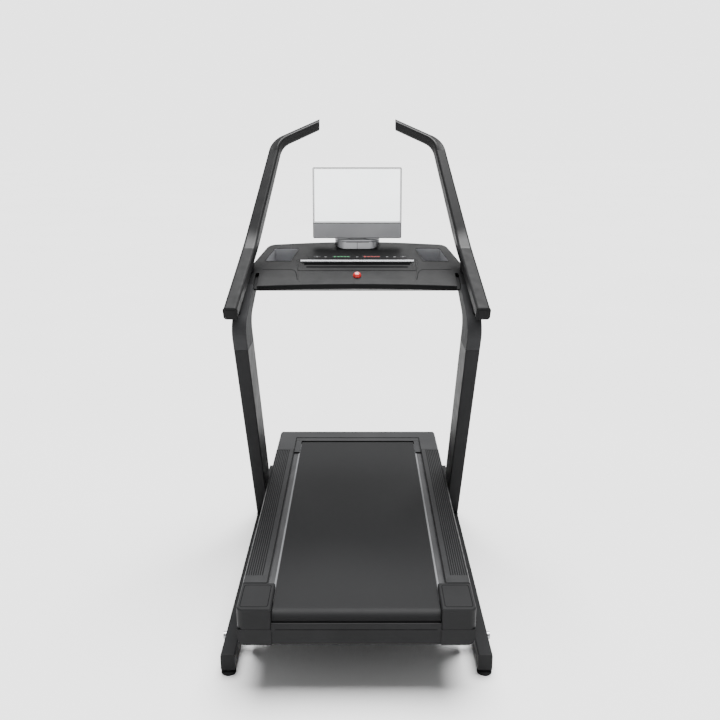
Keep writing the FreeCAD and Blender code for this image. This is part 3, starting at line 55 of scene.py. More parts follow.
class Surface:
    """A node material under construction, with short ways to add its textures."""

    def __init__(self, name, roughness, metallic=0.0, specular=0.5):
        self.material = bpy.data.materials.new(name)
        self.material.use_nodes = True
        self.tree = self.material.node_tree
        self.shader = self.tree.nodes["Principled BSDF"]
        self.shader.inputs["Metallic"].default_value = metallic
        self.shader.inputs["Specular IOR Level"].default_value = specular
        self.shader.inputs["Roughness"].default_value = roughness
        self.place = self.tree.nodes.new("ShaderNodeTexCoord").outputs["Object"]
        self.normal = None

    def link(self, source, target):
        self.tree.links.new(source, target)

    def stretched(self, scale):
        mapping = self.tree.nodes.new("ShaderNodeMapping")
        mapping.inputs["Scale"].default_value = scale
        self.link(self.place, mapping.inputs["Vector"])
        return mapping.outputs["Vector"]

    def noise(self, scale, detail=3.0, stretch=(1, 1, 1)):
        noise = self.tree.nodes.new("ShaderNodeTexNoise")
        noise.inputs["Scale"].default_value = scale
        noise.inputs["Detail"].default_value = detail
        self.link(self.stretched(stretch), noise.inputs["Vector"])
        return noise.outputs["Fac"]

    def cells(self, scale):
        cells = self.tree.nodes.new("ShaderNodeTexVoronoi")
        cells.inputs["Scale"].default_value = scale
        self.link(self.place, cells.inputs["Vector"])
        return cells.outputs["Distance"]

    def waves(self, scale, direction, distortion=0.0):
        waves = self.tree.nodes.new("ShaderNodeTexWave")
        waves.bands_direction = direction
        waves.inputs["Scale"].default_value = scale
        waves.inputs["Distortion"].default_value = distortion
        self.link(self.place, waves.inputs["Vector"])
        return waves.outputs["Fac"]

    def ranged(self, value, low, high):
        node = self.tree.nodes.new("ShaderNodeMapRange")
        node.inputs["From Min"].default_value = 0.3
        node.inputs["From Max"].default_value = 0.7
        node.inputs["To Min"].default_value = low
        node.inputs["To Max"].default_value = high
        self.link(value, node.inputs["Value"])
        return node.outputs["Result"]

    def colour(self, pattern, dark, light):
        ramp = self.tree.nodes.new("ShaderNodeValToRGB")
        ramp.color_ramp.elements[0].position = 0.3
        ramp.color_ramp.elements[1].position = 0.7
        ramp.color_ramp.elements[0].color = (*dark, 1)
        ramp.color_ramp.elements[1].color = (*light, 1)
        self.link(pattern, ramp.inputs["Fac"])
        self.link(ramp.outputs["Color"], self.shader.inputs["Base Color"])
        return self

    def polish(self, pattern, low, high):
        self.link(self.ranged(pattern, low, high), self.shader.inputs["Roughness"])
        return self

    def bump(self, pattern, strength, distance):
        bump = self.tree.nodes.new("ShaderNodeBump")
        bump.inputs["Strength"].default_value = strength
        bump.inputs["Distance"].default_value = distance
        self.link(pattern, bump.inputs["Height"])
        if self.normal is not None:
            self.link(self.normal, bump.inputs["Normal"])
        self.normal = bump.outputs["Normal"]
        self.link(self.normal, self.shader.inputs["Normal"])
        return self

    def set(self, socket, value):
        self.shader.inputs[socket].default_value = value
        return self


def grey(value, warmth=0.0):
    """A grey that is slightly blue at 0 and warmer above it."""
    return value * (0.98 + warmth), value * (0.99 + warmth / 2), value * 1.03


def moulded_plastic(name, tone, roughness, grain=0.25, specular=0.22):
    surface = Surface(name, roughness, specular=specular)
    surface.colour(surface.noise(6), grey(tone * 0.9), grey(tone * 1.1))
    surface.polish(surface.noise(14), roughness - 0.05, roughness + 0.06)
    return surface.bump(surface.cells(900), grain, 0.0002).material


def powder_coat(name, tone, roughness, specular):
    surface = Surface(name, roughness, specular=specular)
    surface.colour(surface.noise(9), grey(tone * 0.92), grey(tone * 1.08))
    surface.polish(surface.noise(20), roughness - 0.04, roughness + 0.05)
    return surface.bump(surface.noise(420, 2), 0.18, 0.0003).material


def plated_steel(name, tone, roughness):
    surface = Surface(name, roughness, metallic=1.0)
    surface.colour(surface.noise(40), grey(tone * 0.85), grey(tone, 0.03))
    return surface.polish(surface.noise(90), roughness - 0.08, roughness + 0.1).material


def satin_metal(name, tone, roughness):
    surface = Surface(name, roughness, metallic=0.85)
    surface.colour(surface.noise(5), grey(tone * 0.96), grey(tone * 1.04))
    return surface.polish(surface.noise(12), roughness - 0.02, roughness + 0.03).material


def brushed_steel(name, tone):
    surface = Surface(name, 0.3, metallic=1.0)
    streaks = surface.noise(60, 4, (0.03, 8, 8))
    surface.colour(streaks, grey(tone * 0.85), grey(tone))
    surface.polish(streaks, 0.2, 0.36)
    return surface.bump(streaks, 0.1, 0.0001).material


def rubber(name, tone, roughness, grain_scale=500, grain=0.4):
    surface = Surface(name, roughness, specular=0.1)
    surface.colour(surface.noise(12), grey(tone * 0.88), grey(tone * 1.1))
    surface.polish(surface.noise(30), roughness - 0.06, roughness + 0.05)
    return surface.bump(surface.noise(grain_scale, 4), grain, 0.0005).material


def belt_rubber():
    """The running surface: a fine woven emboss, with long patches that are worn a little smoother."""
    surface = Surface("belt_rubber", 0.52, specular=0.10)
    surface.colour(surface.noise(3, 6, (2.2, 0.6, 1)), grey(0.0136), grey(0.0142))
    surface.polish(surface.noise(5, 4, (3, 0.5, 1)), 0.50, 0.54)
    surface.bump(surface.waves(240, "X"), 0.25, 0.0003)
    return surface.bump(surface.waves(240, "Y"), 0.25, 0.0003).material


def foot_rail_coat():
    surface = Surface("foot_rail_coat", 0.45, specular=0.2)
    surface.colour(surface.noise(8), grey(0.020), grey(0.023))
    surface.polish(surface.noise(30), 0.36, 0.48)
    return surface.bump(surface.noise(700, 2), 0.3, 0.0003).material


def laminate():
    surface = Surface("board_laminate", 0.35)
    surface.colour(surface.noise(20, 6, (8, 0.4, 1)), grey(0.03), grey(0.042))
    return surface.polish(surface.noise(12), 0.3, 0.42).material


def red_gloss():
    surface = Surface("red_gloss", 0.22)
    surface.colour(surface.noise(60), (0.62, 0.022, 0.02), (0.75, 0.035, 0.03))
    return surface.polish(surface.noise(80), 0.18, 0.26).set("Coat Weight", 0.4).material


def lit_screen():
    """The screen is lit almost white, with a faint soft picture."""
    surface = Surface("lit_screen", 0.12)
    cloud = surface.noise(9, 5, (1, 1, 1.8))
    surface.colour(cloud, (0.72, 0.75, 0.76), (0.86, 0.87, 0.87))
    return surface.set("Emission Color", (0.94, 0.97, 0.98, 1)).set("Emission Strength", 2.4).material


def printed(name, low, high):
    surface = Surface(name, 0.5)
    surface.colour(surface.noise(300), low, high)
    return surface.bump(surface.noise(900), 0.1, 0.0001).material


def circuit_board_lacquer():
    surface = Surface("circuit_board_lacquer", 0.3)
    surface.colour(surface.waves(90, "X", 4), (0.01, 0.07, 0.03), (0.02, 0.13, 0.06))
    return surface.polish(surface.noise(50), 0.25, 0.38).material


FRAME_COAT = powder_coat("frame_coat", 0.016, 0.52, 0.06)
BAR_COAT = powder_coat("bar_coat", 0.0145, 0.40, 0.18)
CAP_PLASTIC = moulded_plastic("cap_plastic", 0.0145, 0.52, specular=0.1)
# The cap plastic lightened: painted light for the hood's top, which catches more light than the caps.
LIT_HOOD_PLASTIC = moulded_plastic("lit_hood_plastic", 0.028, 0.5, specular=0.14)
# A lighter copy of the hood plastic, painted light for the wedge on the hood's shaded front wall.
LIT_WEDGE_PLASTIC = moulded_plastic("painted_light_wedge", 0.05, 0.5, specular=0.2)
# Lighter than the console plastics: partly the arms' own tone, partly a painted highlight for the elbows.
ARM_PLASTIC_AND_HIGHLIGHT = moulded_plastic("arm_plastic_and_highlight", 0.034, 0.6, specular=0.02)
CONSOLE_TOP = moulded_plastic("console_top", 0.0100, 0.5, specular=0.10)
CONSOLE_UNDER = moulded_plastic("console_under", 0.014, 0.5)
PANEL_PLASTIC = moulded_plastic("panel_plastic", 0.0092, 0.48, 0.15, 0.10)
PEDESTAL_COAT = satin_metal("pedestal_coat", 0.29, 0.36)
BEZEL_PLASTIC = moulded_plastic("bezel_plastic", 0.035, 0.35, 0.1)
SCREEN_BACK = moulded_plastic("screen_back", 0.028, 0.42)
SPEAKER_PLASTIC = moulded_plastic("speaker_plastic", 0.28, 0.45, 0.3)
KEY_PLASTIC = moulded_plastic("key_plastic", 0.024, 0.5, 0.15)
BIN_LINING = moulded_plastic("bin_lining", 0.36, 0.5, 0.3)
# Dark plastic for the bar end plugs, also used as painted shade on the console's near edge and in the foot
# rail grooves.
DARK_PLASTIC_AND_SHADE = moulded_plastic("dark_plastic_and_painted_shade", 0.007, 0.55, specular=0.08)
# Pale plastic painted as the highlight along the belt's edges.
EDGE_HIGHLIGHT_PAINT = moulded_plastic("painted_edge_highlight", 0.16, 0.35, 0.1)
# Very dark plastic for real seams, joints and gaskets, also used as painted shade in slots and vents.
JOINT_DARK_AND_SHADE = moulded_plastic("joint_dark_and_painted_shade", 0.006, 0.7, 0.1, 0.0)
GRIP_RUBBER = rubber("grip_rubber", 0.0125, 0.55, 380, 0.3)
PAD_RUBBER = rubber("pad_rubber", 0.015, 0.7)
BELT_RUBBER = belt_rubber()
FOOT_RAIL_COAT = foot_rail_coat()
BOARD_LAMINATE = laminate()
STEEL = plated_steel("plated_steel", 0.5, 0.34)
ALUMINIUM = plated_steel("machined_aluminium", 0.62, 0.3)
LEDGE_STEEL = brushed_steel("ledge_steel", 0.17)
RED_GLOSS = red_gloss()
LIT_SCREEN = lit_screen()
GREEN_PRINT = printed("green_print", (0.02, 0.28, 0.08), (0.04, 0.4, 0.13))
RED_PRINT = printed("red_print", (0.4, 0.02, 0.02), (0.55, 0.04, 0.03))
GREY_PRINT = printed("grey_print", (0.3, 0.3, 0.3), (0.38, 0.38, 0.38))
WHITE_PRINT = printed("white_print", (0.62, 0.62, 0.62), (0.74, 0.74, 0.74))
CIRCUIT = circuit_board_lacquer()

NODE_SURFACES = {
    FRAME_COAT: ["base_rail_left", "base_rail_right", "base_front_tube", "base_middle_tube", "upright_left",
                 "upright_right", "console_crossbeam", "handlebar_brackets", "deck_frame_left",
                 "deck_frame_right", "deck_cross_members", "drive_motor"],
    BAR_COAT: ["handlebar_left", "handlebar_right"],
    CAP_PLASTIC: ["rail_end_caps", "motor_pan", "rear_cap_left", "rear_cap_right",
                  "rear_cross_cover", "rear_skirts"],
    LIT_HOOD_PLASTIC: ["motor_hood"],
    ARM_PLASTIC_AND_HIGHLIGHT: ["console_arm_left", "console_arm_right"],
    CONSOLE_TOP: ["console_upper_shell"],
    CONSOLE_UNDER: ["console_lower_shell"],
    PANEL_PLASTIC: ["console_center_insert", "control_panel"],
    PEDESTAL_COAT: ["monitor_pedestal", "swivel_neck"],
    BEZEL_PLASTIC: ["monitor_bezel"],
    SCREEN_BACK: ["monitor_shell"],
    SPEAKER_PLASTIC: ["speaker_panel"],
    KEY_PLASTIC: ["start_button", "stop_button", "incline_rocker", "speed_rocker"],
    BIN_LINING: ["cup_holders"],
    GRIP_RUBBER: ["handlebar_sleeves"],
    PAD_RUBBER: ["deck_cushions", "transport_wheel_left", "transport_wheel_right", "levelling_foot_left",
                 "levelling_foot_right", "drive_belt"],
    BELT_RUBBER: ["tread_belt"],
    FOOT_RAIL_COAT: ["foot_rail_left", "foot_rail_right"],
    BOARD_LAMINATE: ["deck_board"],
    STEEL: ["pivot_bolts", "frame_bolts", "roller_axles", "motor_shaft", "actuator_rod"],
    ALUMINIUM: ["front_roller", "rear_roller", "actuator_body"],
    LEDGE_STEEL: ["tablet_ledge_bar"],
    RED_GLOSS: ["safety_key"],
    LIT_SCREEN: ["screen_glass"],
    CIRCUIT: ["console_circuit_board"],
}


def paint(obj, material):
    obj.data.materials.clear()
    obj.data.materials.append(material)


def paint_frame():
    for material, names in NODE_SURFACES.items():
        for name in names:
            paint(nodes[name], material)


# ---------------------------------------------------------------- mesh tools

def finish_piece(name, mesh_builder, material, body, bevel=0.0, segments=2):
    """Turns a bmesh into a smooth-shaded piece that rides on a body."""
    mesh = bpy.data.meshes.new(name)
    mesh_builder.to_mesh(mesh)
    mesh_builder.free()
    obj = bpy.data.objects.new(name, mesh)
    bpy.context.scene.collection.objects.link(obj)
    paint(obj, material)
    if bevel:
        rounding = obj.modifiers.new("edges", "BEVEL")
        rounding.width = bevel
        rounding.segments = segments
        rounding.limit_method = "ANGLE"
        rounding.harden_normals = False
    mesh.shade_smooth()
    mesh.set_sharp_from_angle(angle=math.radians(40))
    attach(obj, body)
    return obj


def rounded(x_low, x_high, y_low, y_high, radius, steps=5):
    """An upright rectangle with round corners, anticlockwise."""
    points = []
    for x, y, start in ((x_high - radius, y_high - radius, 0), (x_low + radius, y_high - radius, 90),
                        (x_low + radius, y_low + radius, 180), (x_high - radius, y_low + radius, 270)):
        for step in range(steps + 1):
            angle = math.radians(start + 90 * step / steps)
            points.append((x + radius * math.cos(angle), y + radius * math.sin(angle)))
    return points


def circle(x, y, radius, steps=24, turn=0.0):
    angles = [turn + 2 * math.pi * step / steps for step in range(steps)]
    return [(x + radius * math.cos(angle), y + radius * math.sin(angle)) for angle in angles]


def add_slab(builder, outline, low, high, place):
    """A flat piece of an outline between two heights, put in place by a matrix."""
    bottom = [builder.verts.new(place @ Vector((x, y, low))) for x, y in outline]
    top = [builder.verts.new(place @ Vector((x, y, high))) for x, y in outline]
    builder.faces.new(list(reversed(bottom)))
    builder.faces.new(top)
    for i in range(len(outline)):
        j = (i + 1) % len(outline)
        builder.faces.new((bottom[i], bottom[j], top[j], top[i]))


def add_frame(builder, outer, inner, low, high, place):
    """A flat frame between an outer and an inner outline with as many points."""
    loops = [[builder.verts.new(place @ Vector((x, y, z))) for x, y in outline]
             for outline, z in ((outer, low), (outer, high), (inner, high), (inner, low))]
    count = len(outer)
    for a, b in zip(loops, loops[1:] + loops[:1]):
        for i in range(count):
            j = (i + 1) % count
            builder.faces.new((a[i], a[j], b[j], b[i]))


def mirrored_outline(outline, sign):
    return outline if sign > 0 else [(-x, y) for x, y in reversed(outline)]


def slabs(name, outlines, low, high, place, material, body, bevel=0.0):
    builder = bmesh.new()
    for outline in outlines:
        add_slab(builder, outline, low, high, place)
    return finish_piece(name, builder, material, body, bevel)


# ---------------------------------------------------------------- console details

def mark_keys():
    """Plain coloured bars and arrows on the keys, which carry no words."""
    v_middle, top, thickness = 0.230, 0.0018, 0.0003
    bar_length, icon_radius, icon_offset = 0.011, 0.0062, 0.004
    bar_low, bar_high = v_middle - 0.0022, v_middle + 0.0022
    for body, left, corners, material in (("start_button", -0.100, 3, GREEN_PRINT),
                                          ("stop_button", 0.029, 4, RED_PRINT)):
        turn = 0 if corners == 3 else math.pi / 4
        outlines = [circle(left + icon_offset, v_middle, icon_radius, corners, turn)]
        for step in (0.014, 0.028, 0.042, 0.056):
            start = left + step
            outlines.append(rounded(start, start + bar_length, bar_low, bar_high, 0.001))
        slabs(f"{body}_mark", outlines, top, top + thickness, CONSOLE, material, body)
    arrow_radius, arrow_offset = 0.0026, 0.003
    for body, middle in (("incline_rocker", -0.172), ("speed_rocker", 0.196)):
        arrows = [circle(middle, v_middle + side * arrow_offset, arrow_radius, 3, side * math.pi / 2)
                  for side in (-1, 1)]
        slabs(f"{body}_mark", arrows, top, top + thickness, CONSOLE, GREY_PRINT, body)


def mark_panel():
    """Short grey dashes between the keys of the control strip."""
    v_low, v_high, half_length, low, high = 0.2285, 0.2315, 0.005, 0.0006, 0.0009
    dashes = [rounded(x - half_length, x + half_length, v_low, v_high, 0.001)
              for x in (-0.135, 0.0, 0.128, 0.160)]
    slabs("panel_dashes", dashes, low, high, CONSOLE, GREY_PRINT, "frame")


def trough_floor():
    """The floor of the trough below the tablet ledge, with two dark strips along it: painted shade standing
    in for its slots.
    """
    slot_level = -0.0022
    floor = rounded(-0.230, 0.230, 0.1195, 0.1785, 0.006)
    slabs("trough_floor", [floor], -0.0031, slot_level - 0.0001, CONSOLE, PANEL_PLASTIC, "frame")
    slots = [rounded(-0.224, 0.224, 0.163, 0.178, 0.003), rounded(-0.214, 0.214, 0.141, 0.151, 0.004)]
    slabs("trough_slot_shade", slots, -0.0026, slot_level + 0.0002, CONSOLE, JOINT_DARK_AND_SHADE, "frame")


def trough_rim():
    """The raised rim round the ledge and its trough."""
    builder = bmesh.new()
    outer = rounded(-0.248, 0.248, 0.110, 0.2045, 0.010)
    inner = rounded(-0.2455, 0.2455, 0.1125, 0.202, 0.008)
    add_frame(builder, outer, inner, -0.001, 0.0012, CONSOLE)
    finish_piece("trough_rim", builder, PANEL_PLASTIC, "frame", 0.0006)


def console_seams():
    """The dark seam of each lower side panel, from the arm to the centre panel."""
    builder = bmesh.new()
    half_width, lift, thickness = 0.0011, 0.0002, 0.0004
    path = [(0.394, 0.119), (0.300, 0.121), (0.272, 0.119), (0.2585, 0.108), (0.2525, 0.088),
            (0.2485, 0.060), (0.2445, 0.034)]
    for _, sign in SIDES:
        points = [Vector((sign * x, v, lift)) for x, v in path]
        left, right = [], []
        for i, point in enumerate(points):
            ahead, behind = points[min(i + 1, len(points) - 1)], points[max(i - 1, 0)]
            side = (ahead - behind).normalized().cross(Vector((0, 0, 1))) * half_width
            left.append(builder.verts.new(CONSOLE @ (point + side)))
            right.append(builder.verts.new(CONSOLE @ (point - side)))
        for i in range(len(points) - 1):
            builder.faces.new((left[i], left[i + 1], right[i + 1], right[i]))
    seam = finish_piece("console_seams", builder, JOINT_DARK_AND_SHADE, "frame")
    thick = seam.modifiers.new("thickness", "SOLIDIFY")
    thick.thickness = thickness
    thick.offset = 0


def console_edge_shade_band():
    """A dark band under the console's curved near edge: painted shade where the edge turns under."""
    reach, middle_v, edge_radius, count = 0.398, -0.00076, 5.0, 24
    proud, depth, low, high = 0.0010, 0.0020, -0.0218, -0.0045
    near, far = [], []
    for i in range(count + 1):
        x = reach * (2 * i / count - 1)
        v = middle_v - x * x / (2 * edge_radius)
        near.append((x, v - proud))
        far.append((x, v + depth))
    builder = bmesh.new()
    add_slab(builder, near + list(reversed(far)), low, high, CONSOLE)
    finish_piece("console_edge_shade_band", builder, DARK_PLASTIC_AND_SHADE, "frame")


def bin_rims():
    """The thin raised lip round each open bin."""
    builder = bmesh.new()
    corners = [(0.280, 0.192), (0.392, 0.192), (0.360, 0.308), (0.250, 0.308)]
    for _, sign in SIDES:
        outer = mirrored_outline(bin_outline(corners, 0.0022, 0.010), sign)
        inner = mirrored_outline(bin_outline(corners, -0.0030, 0.0065), sign)
        add_frame(builder, outer, inner, -0.001, 0.0011, CONSOLE)
    finish_piece("bin_rims", builder, CONSOLE_TOP, "frame", 0.0004)


def bin_outline(corners, grow, radius, steps=6):
    """The bin's four corners rounded off and moved outwards, anticlockwise."""
    middle = sum((Vector(corner) for corner in corners), Vector((0, 0))) / 4
    points = [Vector((x + grow * math.copysign(1, x - middle.x), y + grow * math.copysign(1, y - middle.y)))
              for x, y in corners]
    outline = []
    for i, corner in enumerate(points):
        before, after = (points[i - 1] - corner).normalized(), (points[(i + 1) % 4] - corner).normalized()
        half_angle = before.angle(after) / 2
        centre = corner + (before + after).normalized() * (radius / math.sin(half_angle))
        reach = radius / math.tan(half_angle)
        first, last = corner + before * reach - centre, corner + after * reach - centre
        start = math.atan2(first.y, first.x)
        sweep = (math.atan2(last.y, last.x) - start) % (2 * math.pi)
        for k in range(steps + 1):
            angle = start + sweep * k / steps
            outline.append((centre.x + radius * math.cos(angle), centre.y + radius * math.sin(angle)))
    return outline


def safety_key_mark():
    """A plain chevron on the dome of the safety key."""
    centre = 0.066
    chevron = [(-0.006, centre - 0.004), (0, centre + 0.001), (0.006, centre - 0.004),
               (0.006, centre - 0.0005), (0, centre + 0.0045), (-0.006, centre - 0.0005)]
    slabs("safety_key_mark", [chevron], 0.0138, 0.0163, CONSOLE, WHITE_PRINT, "safety_key",
          0.0003)


# ---------------------------------------------------------------- handlebars, uprights and base

def bar_end_plugs():
    """The moulded plug that closes the lower end of each grip, with a raised middle."""
    for side, sign in SIDES:
        end, kink = Vector((sign * 0.471, -0.252, 1.1635)), Vector((sign * 0.442, 0.211, 1.355))
        along = (kink - end).normalized()
        level = along.cross(Vector((0, 0, 1))).normalized()
        up = level.cross(along)
        place = Matrix((level, up, -along)).transposed().to_4x4()
        place.translation = end
        rim = rounded(-0.0278, 0.0278, -0.0272, 0.0248, 0.0120, 8)
        middle = rounded(-0.0195, 0.0195, -0.0185, 0.0165, 0.007, 8)
        builder = bmesh.new()
        add_slab(builder, rim, -0.0040, 0.0030, place)
        add_slab(builder, middle, 0.001, 0.0040, place)
        finish_piece(f"bar_end_plug_{side}", builder, DARK_PLASTIC_AND_SHADE, "frame", 0.0014, 3)


def upright_gaskets():
    """The dark joint between each upright and the arm above it."""
    builder = bmesh.new()
    inset, length, overlap = 0.0018, 0.180, 0.004
    for side, _ in SIDES:
        low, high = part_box(f"upright_{side}")
        arm_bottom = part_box(f"console_arm_{side}")[0][2]
        rear = low[1] + 0.0025
        outline = rounded(low[0] + inset, high[0] - inset, rear, rear + length, 0.004)
        add_slab(builder, outline, high[2] - overlap, arm_bottom + overlap, Matrix())
    finish_piece("upright_gaskets", builder, JOINT_DARK_AND_SHADE, "frame")


def bolt_sockets():
    """Round rings on the bolt heads of the uprights' foot plates and on the pivot bolts."""
    builder = bmesh.new()
    foot_bolt_x, pivot_x, sunk = 0.479, 0.480, -0.0002
    foot_bolts = ((0.365, 0.050), (0.405, 0.066), (0.445, 0.050), (0.485, 0.066))
    for _, sign in SIDES:
        facing_out = Matrix.Rotation(sign * math.pi / 2, 4, "Y")
        for y, z in foot_bolts:
            place = Matrix.Translation((sign * foot_bolt_x, y, z)) @ facing_out
            add_frame(builder, circle(0, 0, 0.0068, 24), circle(0, 0, 0.0052, 24), sunk, 0.0012, place)
            add_frame(builder, circle(0, 0, 0.0053, 24), circle(0, 0, 0.0032, 24), sunk, 0.0005, place)
        place = Matrix.Translation((sign * pivot_x, -0.650, 0.060)) @ facing_out
        add_frame(builder, circle(0, 0, 0.0135, 24), circle(0, 0, 0.0098, 24), sunk, 0.0014, place)
    finish_piece("bolt_sockets", builder, STEEL, "frame", 0.0003)


# ---------------------------------------------------------------- screen

def screen_border():
    """The pale inner border of the screen, round the picture."""
    builder = bmesh.new()
    face, thickness = 0.0486, 0.0005
    outer = rounded(-0.1878, 0.1878, 0.0198, 0.2488, 0.003)
    inner = rounded(-0.1835, 0.1835, 0.0240, 0.2446, 0.002)
    add_frame(builder, outer, inner, face, face + thickness, SCREEN @ FACING_USER)
    finish_piece("screen_border", builder, WHITE_PRINT, "monitor")


def screen_back():
    """Vents as dark strips (painted shade in their openings), a mounting plate and its four screw bosses on
    the back of the screen.
    """
    place = SCREEN @ Matrix.Rotation(-math.pi / 2, 4, "X")
    back = -0.016
    slot_count, slot_pitch, slot_half, first_slot = 12, 0.018, 0.0035, -0.099
    builder = bmesh.new()
    for i in range(slot_count):
        x = first_slot + i * slot_pitch
        slot = rounded(x - slot_half, x + slot_half, -0.225, -0.195, 0.003)
        add_slab(builder, slot, back - 0.0002, back + 0.0006, place)
    finish_piece("screen_vent_shade", builder, JOINT_DARK_AND_SHADE, "monitor")
    builder = bmesh.new()
    add_slab(builder, rounded(-0.075, 0.075, -0.165, -0.020, 0.012), back - 0.0005, back + 0.0025, place)
    for x in (-0.05, 0.05):
        for z in (-0.14, -0.045):
            add_frame(builder, circle(x, z, 0.007), circle(x, z, 0.004), back, back + 0.0042, place)
    finish_piece("screen_mount_plate", builder, SCREEN_BACK, "monitor", 0.0008)


def pedestal_trim():
    """The fine joint down the middle of the pedestal's front and the line under the turning plate."""
    builder = bmesh.new()
    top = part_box("monitor_pedestal")[1][2]
    half_x, half_y = PEDESTAL_HALF
    proud, sunk = 0.0002, 0.002
    place = Matrix.Translation((0, SWIVEL_Y, 0))
    outer = stadium(half_x + proud, half_y + proud)
    inner = stadium(half_x - sunk, half_y - sunk)
    add_frame(builder, outer, inner, top - 0.0065, top - 0.0045, place)
    front, joint_half, joint_foot = SWIVEL_Y - half_y, 0.0009, 1.318
    joint = rounded(-joint_half, joint_half, front - 0.0003, front + sunk, 0.0003)
    add_slab(builder, joint, joint_foot, top - 0.005, Matrix())
    finish_piece("pedestal_trim", builder, JOINT_DARK_AND_SHADE, "frame")


def stadium(half_x, half_y, steps=16):
    """A rounded bar outline, anticlockwise from its right end."""
    straight = half_x - half_y
    right = [(straight + half_y * math.cos(a), half_y * math.sin(a))
             for a in (math.pi * (step / steps - 0.5) for step in range(steps + 1))]
    return right + [(-x, -y) for x, y in right]


# ---------------------------------------------------------------- deck

def rear_cap_panels():
    """The inset panel's outline on the top of each rear cap."""
    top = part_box("rear_cap_right")[1][2]
    line, y_low, y_high = 0.002, -0.872, -0.734
    for side, sign in SIDES:
        builder = bmesh.new()
        x_low, x_high = sorted((sign * 0.292, sign * 0.386))
        outer = rounded(x_low, x_high, y_low, y_high, 0.010)
        inner = rounded(x_low + line, x_high - line, y_low + line, y_high - line, 0.008)
        add_frame(builder, outer, inner, top - 0.0006, top + 0.0003, Matrix())
        finish_piece(f"rear_cap_panel_{side}", builder, JOINT_DARK_AND_SHADE, "deck")


def foot_rail_studs():
    """A band of small raised studs on each foot rail, ahead of its grooves."""
    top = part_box("foot_rail_right")[1][2]
    columns, rows, column_pitch, row_pitch, stagger = 12, 2, 0.0055, 0.0045, 0.0027
    first_x, first_y, radius = 0.328, 0.5205, 0.0017
    builder = bmesh.new()
    for _, sign in SIDES:
        for i in range(columns):
            for j in range(rows):
                x = sign * (first_x + i * column_pitch + j * stagger)
                place = Matrix.Translation((x, first_y + j * row_pitch, top))
                add_slab(builder, circle(0, 0, radius, 10), -0.0003, 0.0007, place)
    finish_piece("foot_rail_studs", builder, FOOT_RAIL_COAT, "deck", 0.0003)


def foot_rail_groove_shade():
    """Dark strips on the floor of each groove in the foot rails: painted shade in the grooves."""
    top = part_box("foot_rail_right")[1][2]
    count, pitch, width, first, depth = 8, 0.008, 0.004, 0.330, 0.003
    builder = bmesh.new()
    for _, sign in SIDES:
        for i in range(count):
            x_low, x_high = sorted((sign * (first + i * pitch), sign * (first + i * pitch + width)))
            groove = rounded(x_low + 0.0001, x_high - 0.0001, -0.668, 0.514, 0.0005)
            add_slab(builder, groove, top - depth - 0.0002, top - depth + 0.0006, Matrix())
    finish_piece("foot_rail_groove_shade", builder, DARK_PLASTIC_AND_SHADE, "deck")


def foot_rail_edges():
    """The low raised edge along each foot rail beside the belt."""
    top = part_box("foot_rail_right")[1][2]
    proud = 0.0004
    builder = bmesh.new()
    for _, sign in SIDES:
        x_low, x_high = sorted((sign * 0.3115, sign * 0.3145))
        edge = rounded(x_low, x_high, -0.716, 0.528, 0.001)
        add_slab(builder, edge, top - proud, top + proud, Matrix())
    finish_piece("foot_rail_edges", builder, FOOT_RAIL_COAT, "deck", 0.0003)


def belt_edge_highlight_strips():
    """Pale strips on the board beside the belt: a painted highlight for the light along the belt's rounded
    edges.
    """
    builder = bmesh.new()
    board_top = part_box("deck_board")[1][2]
    belt_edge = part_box("tread_belt")[1][0]
    gap, width = 0.0025, 0.006
    for _, sign in SIDES:
        x_low, x_high = sorted((sign * (belt_edge + gap), sign * (belt_edge + gap + width)))
        strip = rounded(x_low, x_high, -0.795, 0.655, 0.001)
        add_slab(builder, strip, board_top - 0.0002, board_top + 0.0008, Matrix())
    finish_piece("belt_edge_highlight_strips", builder, EDGE_HIGHLIGHT_PAINT, "deck", 0.0003)


def hood_vent_shade():
    """Cooling slots in the front of the motor hood, drawn as dark strips: painted shade in the slot
    openings.
    """
    builder = bmesh.new()
    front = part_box("motor_hood")[1][1]
    count, pitch, first_x, half_width, z_low, z_high = 9, 0.022, 0.12, 0.007, 0.226, 0.232
    place = Matrix.Translation((0, front, 0)) @ FACING_USER
    for _, sign in SIDES:
        for i in range(count):
            x = sign * (first_x + i * pitch)
            slot = rounded(x - half_width, x + half_width, z_low, z_high, 0.0028)
            add_slab(builder, slot, -0.0008, 0.0004, place)
    finish_piece("hood_vent_shade", builder, JOINT_DARK_AND_SHADE, "deck")


def hood_tray_lit_wedge():
    """A sloping wedge on the front wall of the hood's sunken rim, lighter than the hood: painted light
    where that wall stands in shade.
    """
    wall_y, foot_y, floor_z, half_width = 0.6902, 0.6780, 0.2984, 0.3095
    top_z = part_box("motor_hood")[1][2] - 0.0020
    along_x = Matrix(((0, 0, 1, 0), (1, 0, 0, 0), (0, 1, 0, 0), (0, 0, 0, 1)))
    wedge = [(foot_y, floor_z), (wall_y, floor_z), (wall_y, top_z)]
    slabs("hood_tray_lit_wedge", [wedge], -half_width, half_width, along_x, LIT_WEDGE_PLASTIC, "deck",
          0.0008)


def rear_seam():
    """The seam along the rear cross cover."""
    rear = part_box("rear_cross_cover")[0][1]
    half_length, z_low, z_high = 0.268, 0.2382, 0.2400
    builder = bmesh.new()
    place = Matrix.Translation((0, rear, 0)) @ FACING_USER
    add_slab(builder, rounded(-half_length, half_length, z_low, z_high, 0.0008), -0.0006, 0.0004, place)
    finish_piece("rear_seam", builder, JOINT_DARK_AND_SHADE, "deck")


# ---------------------------------------------------------------- stage

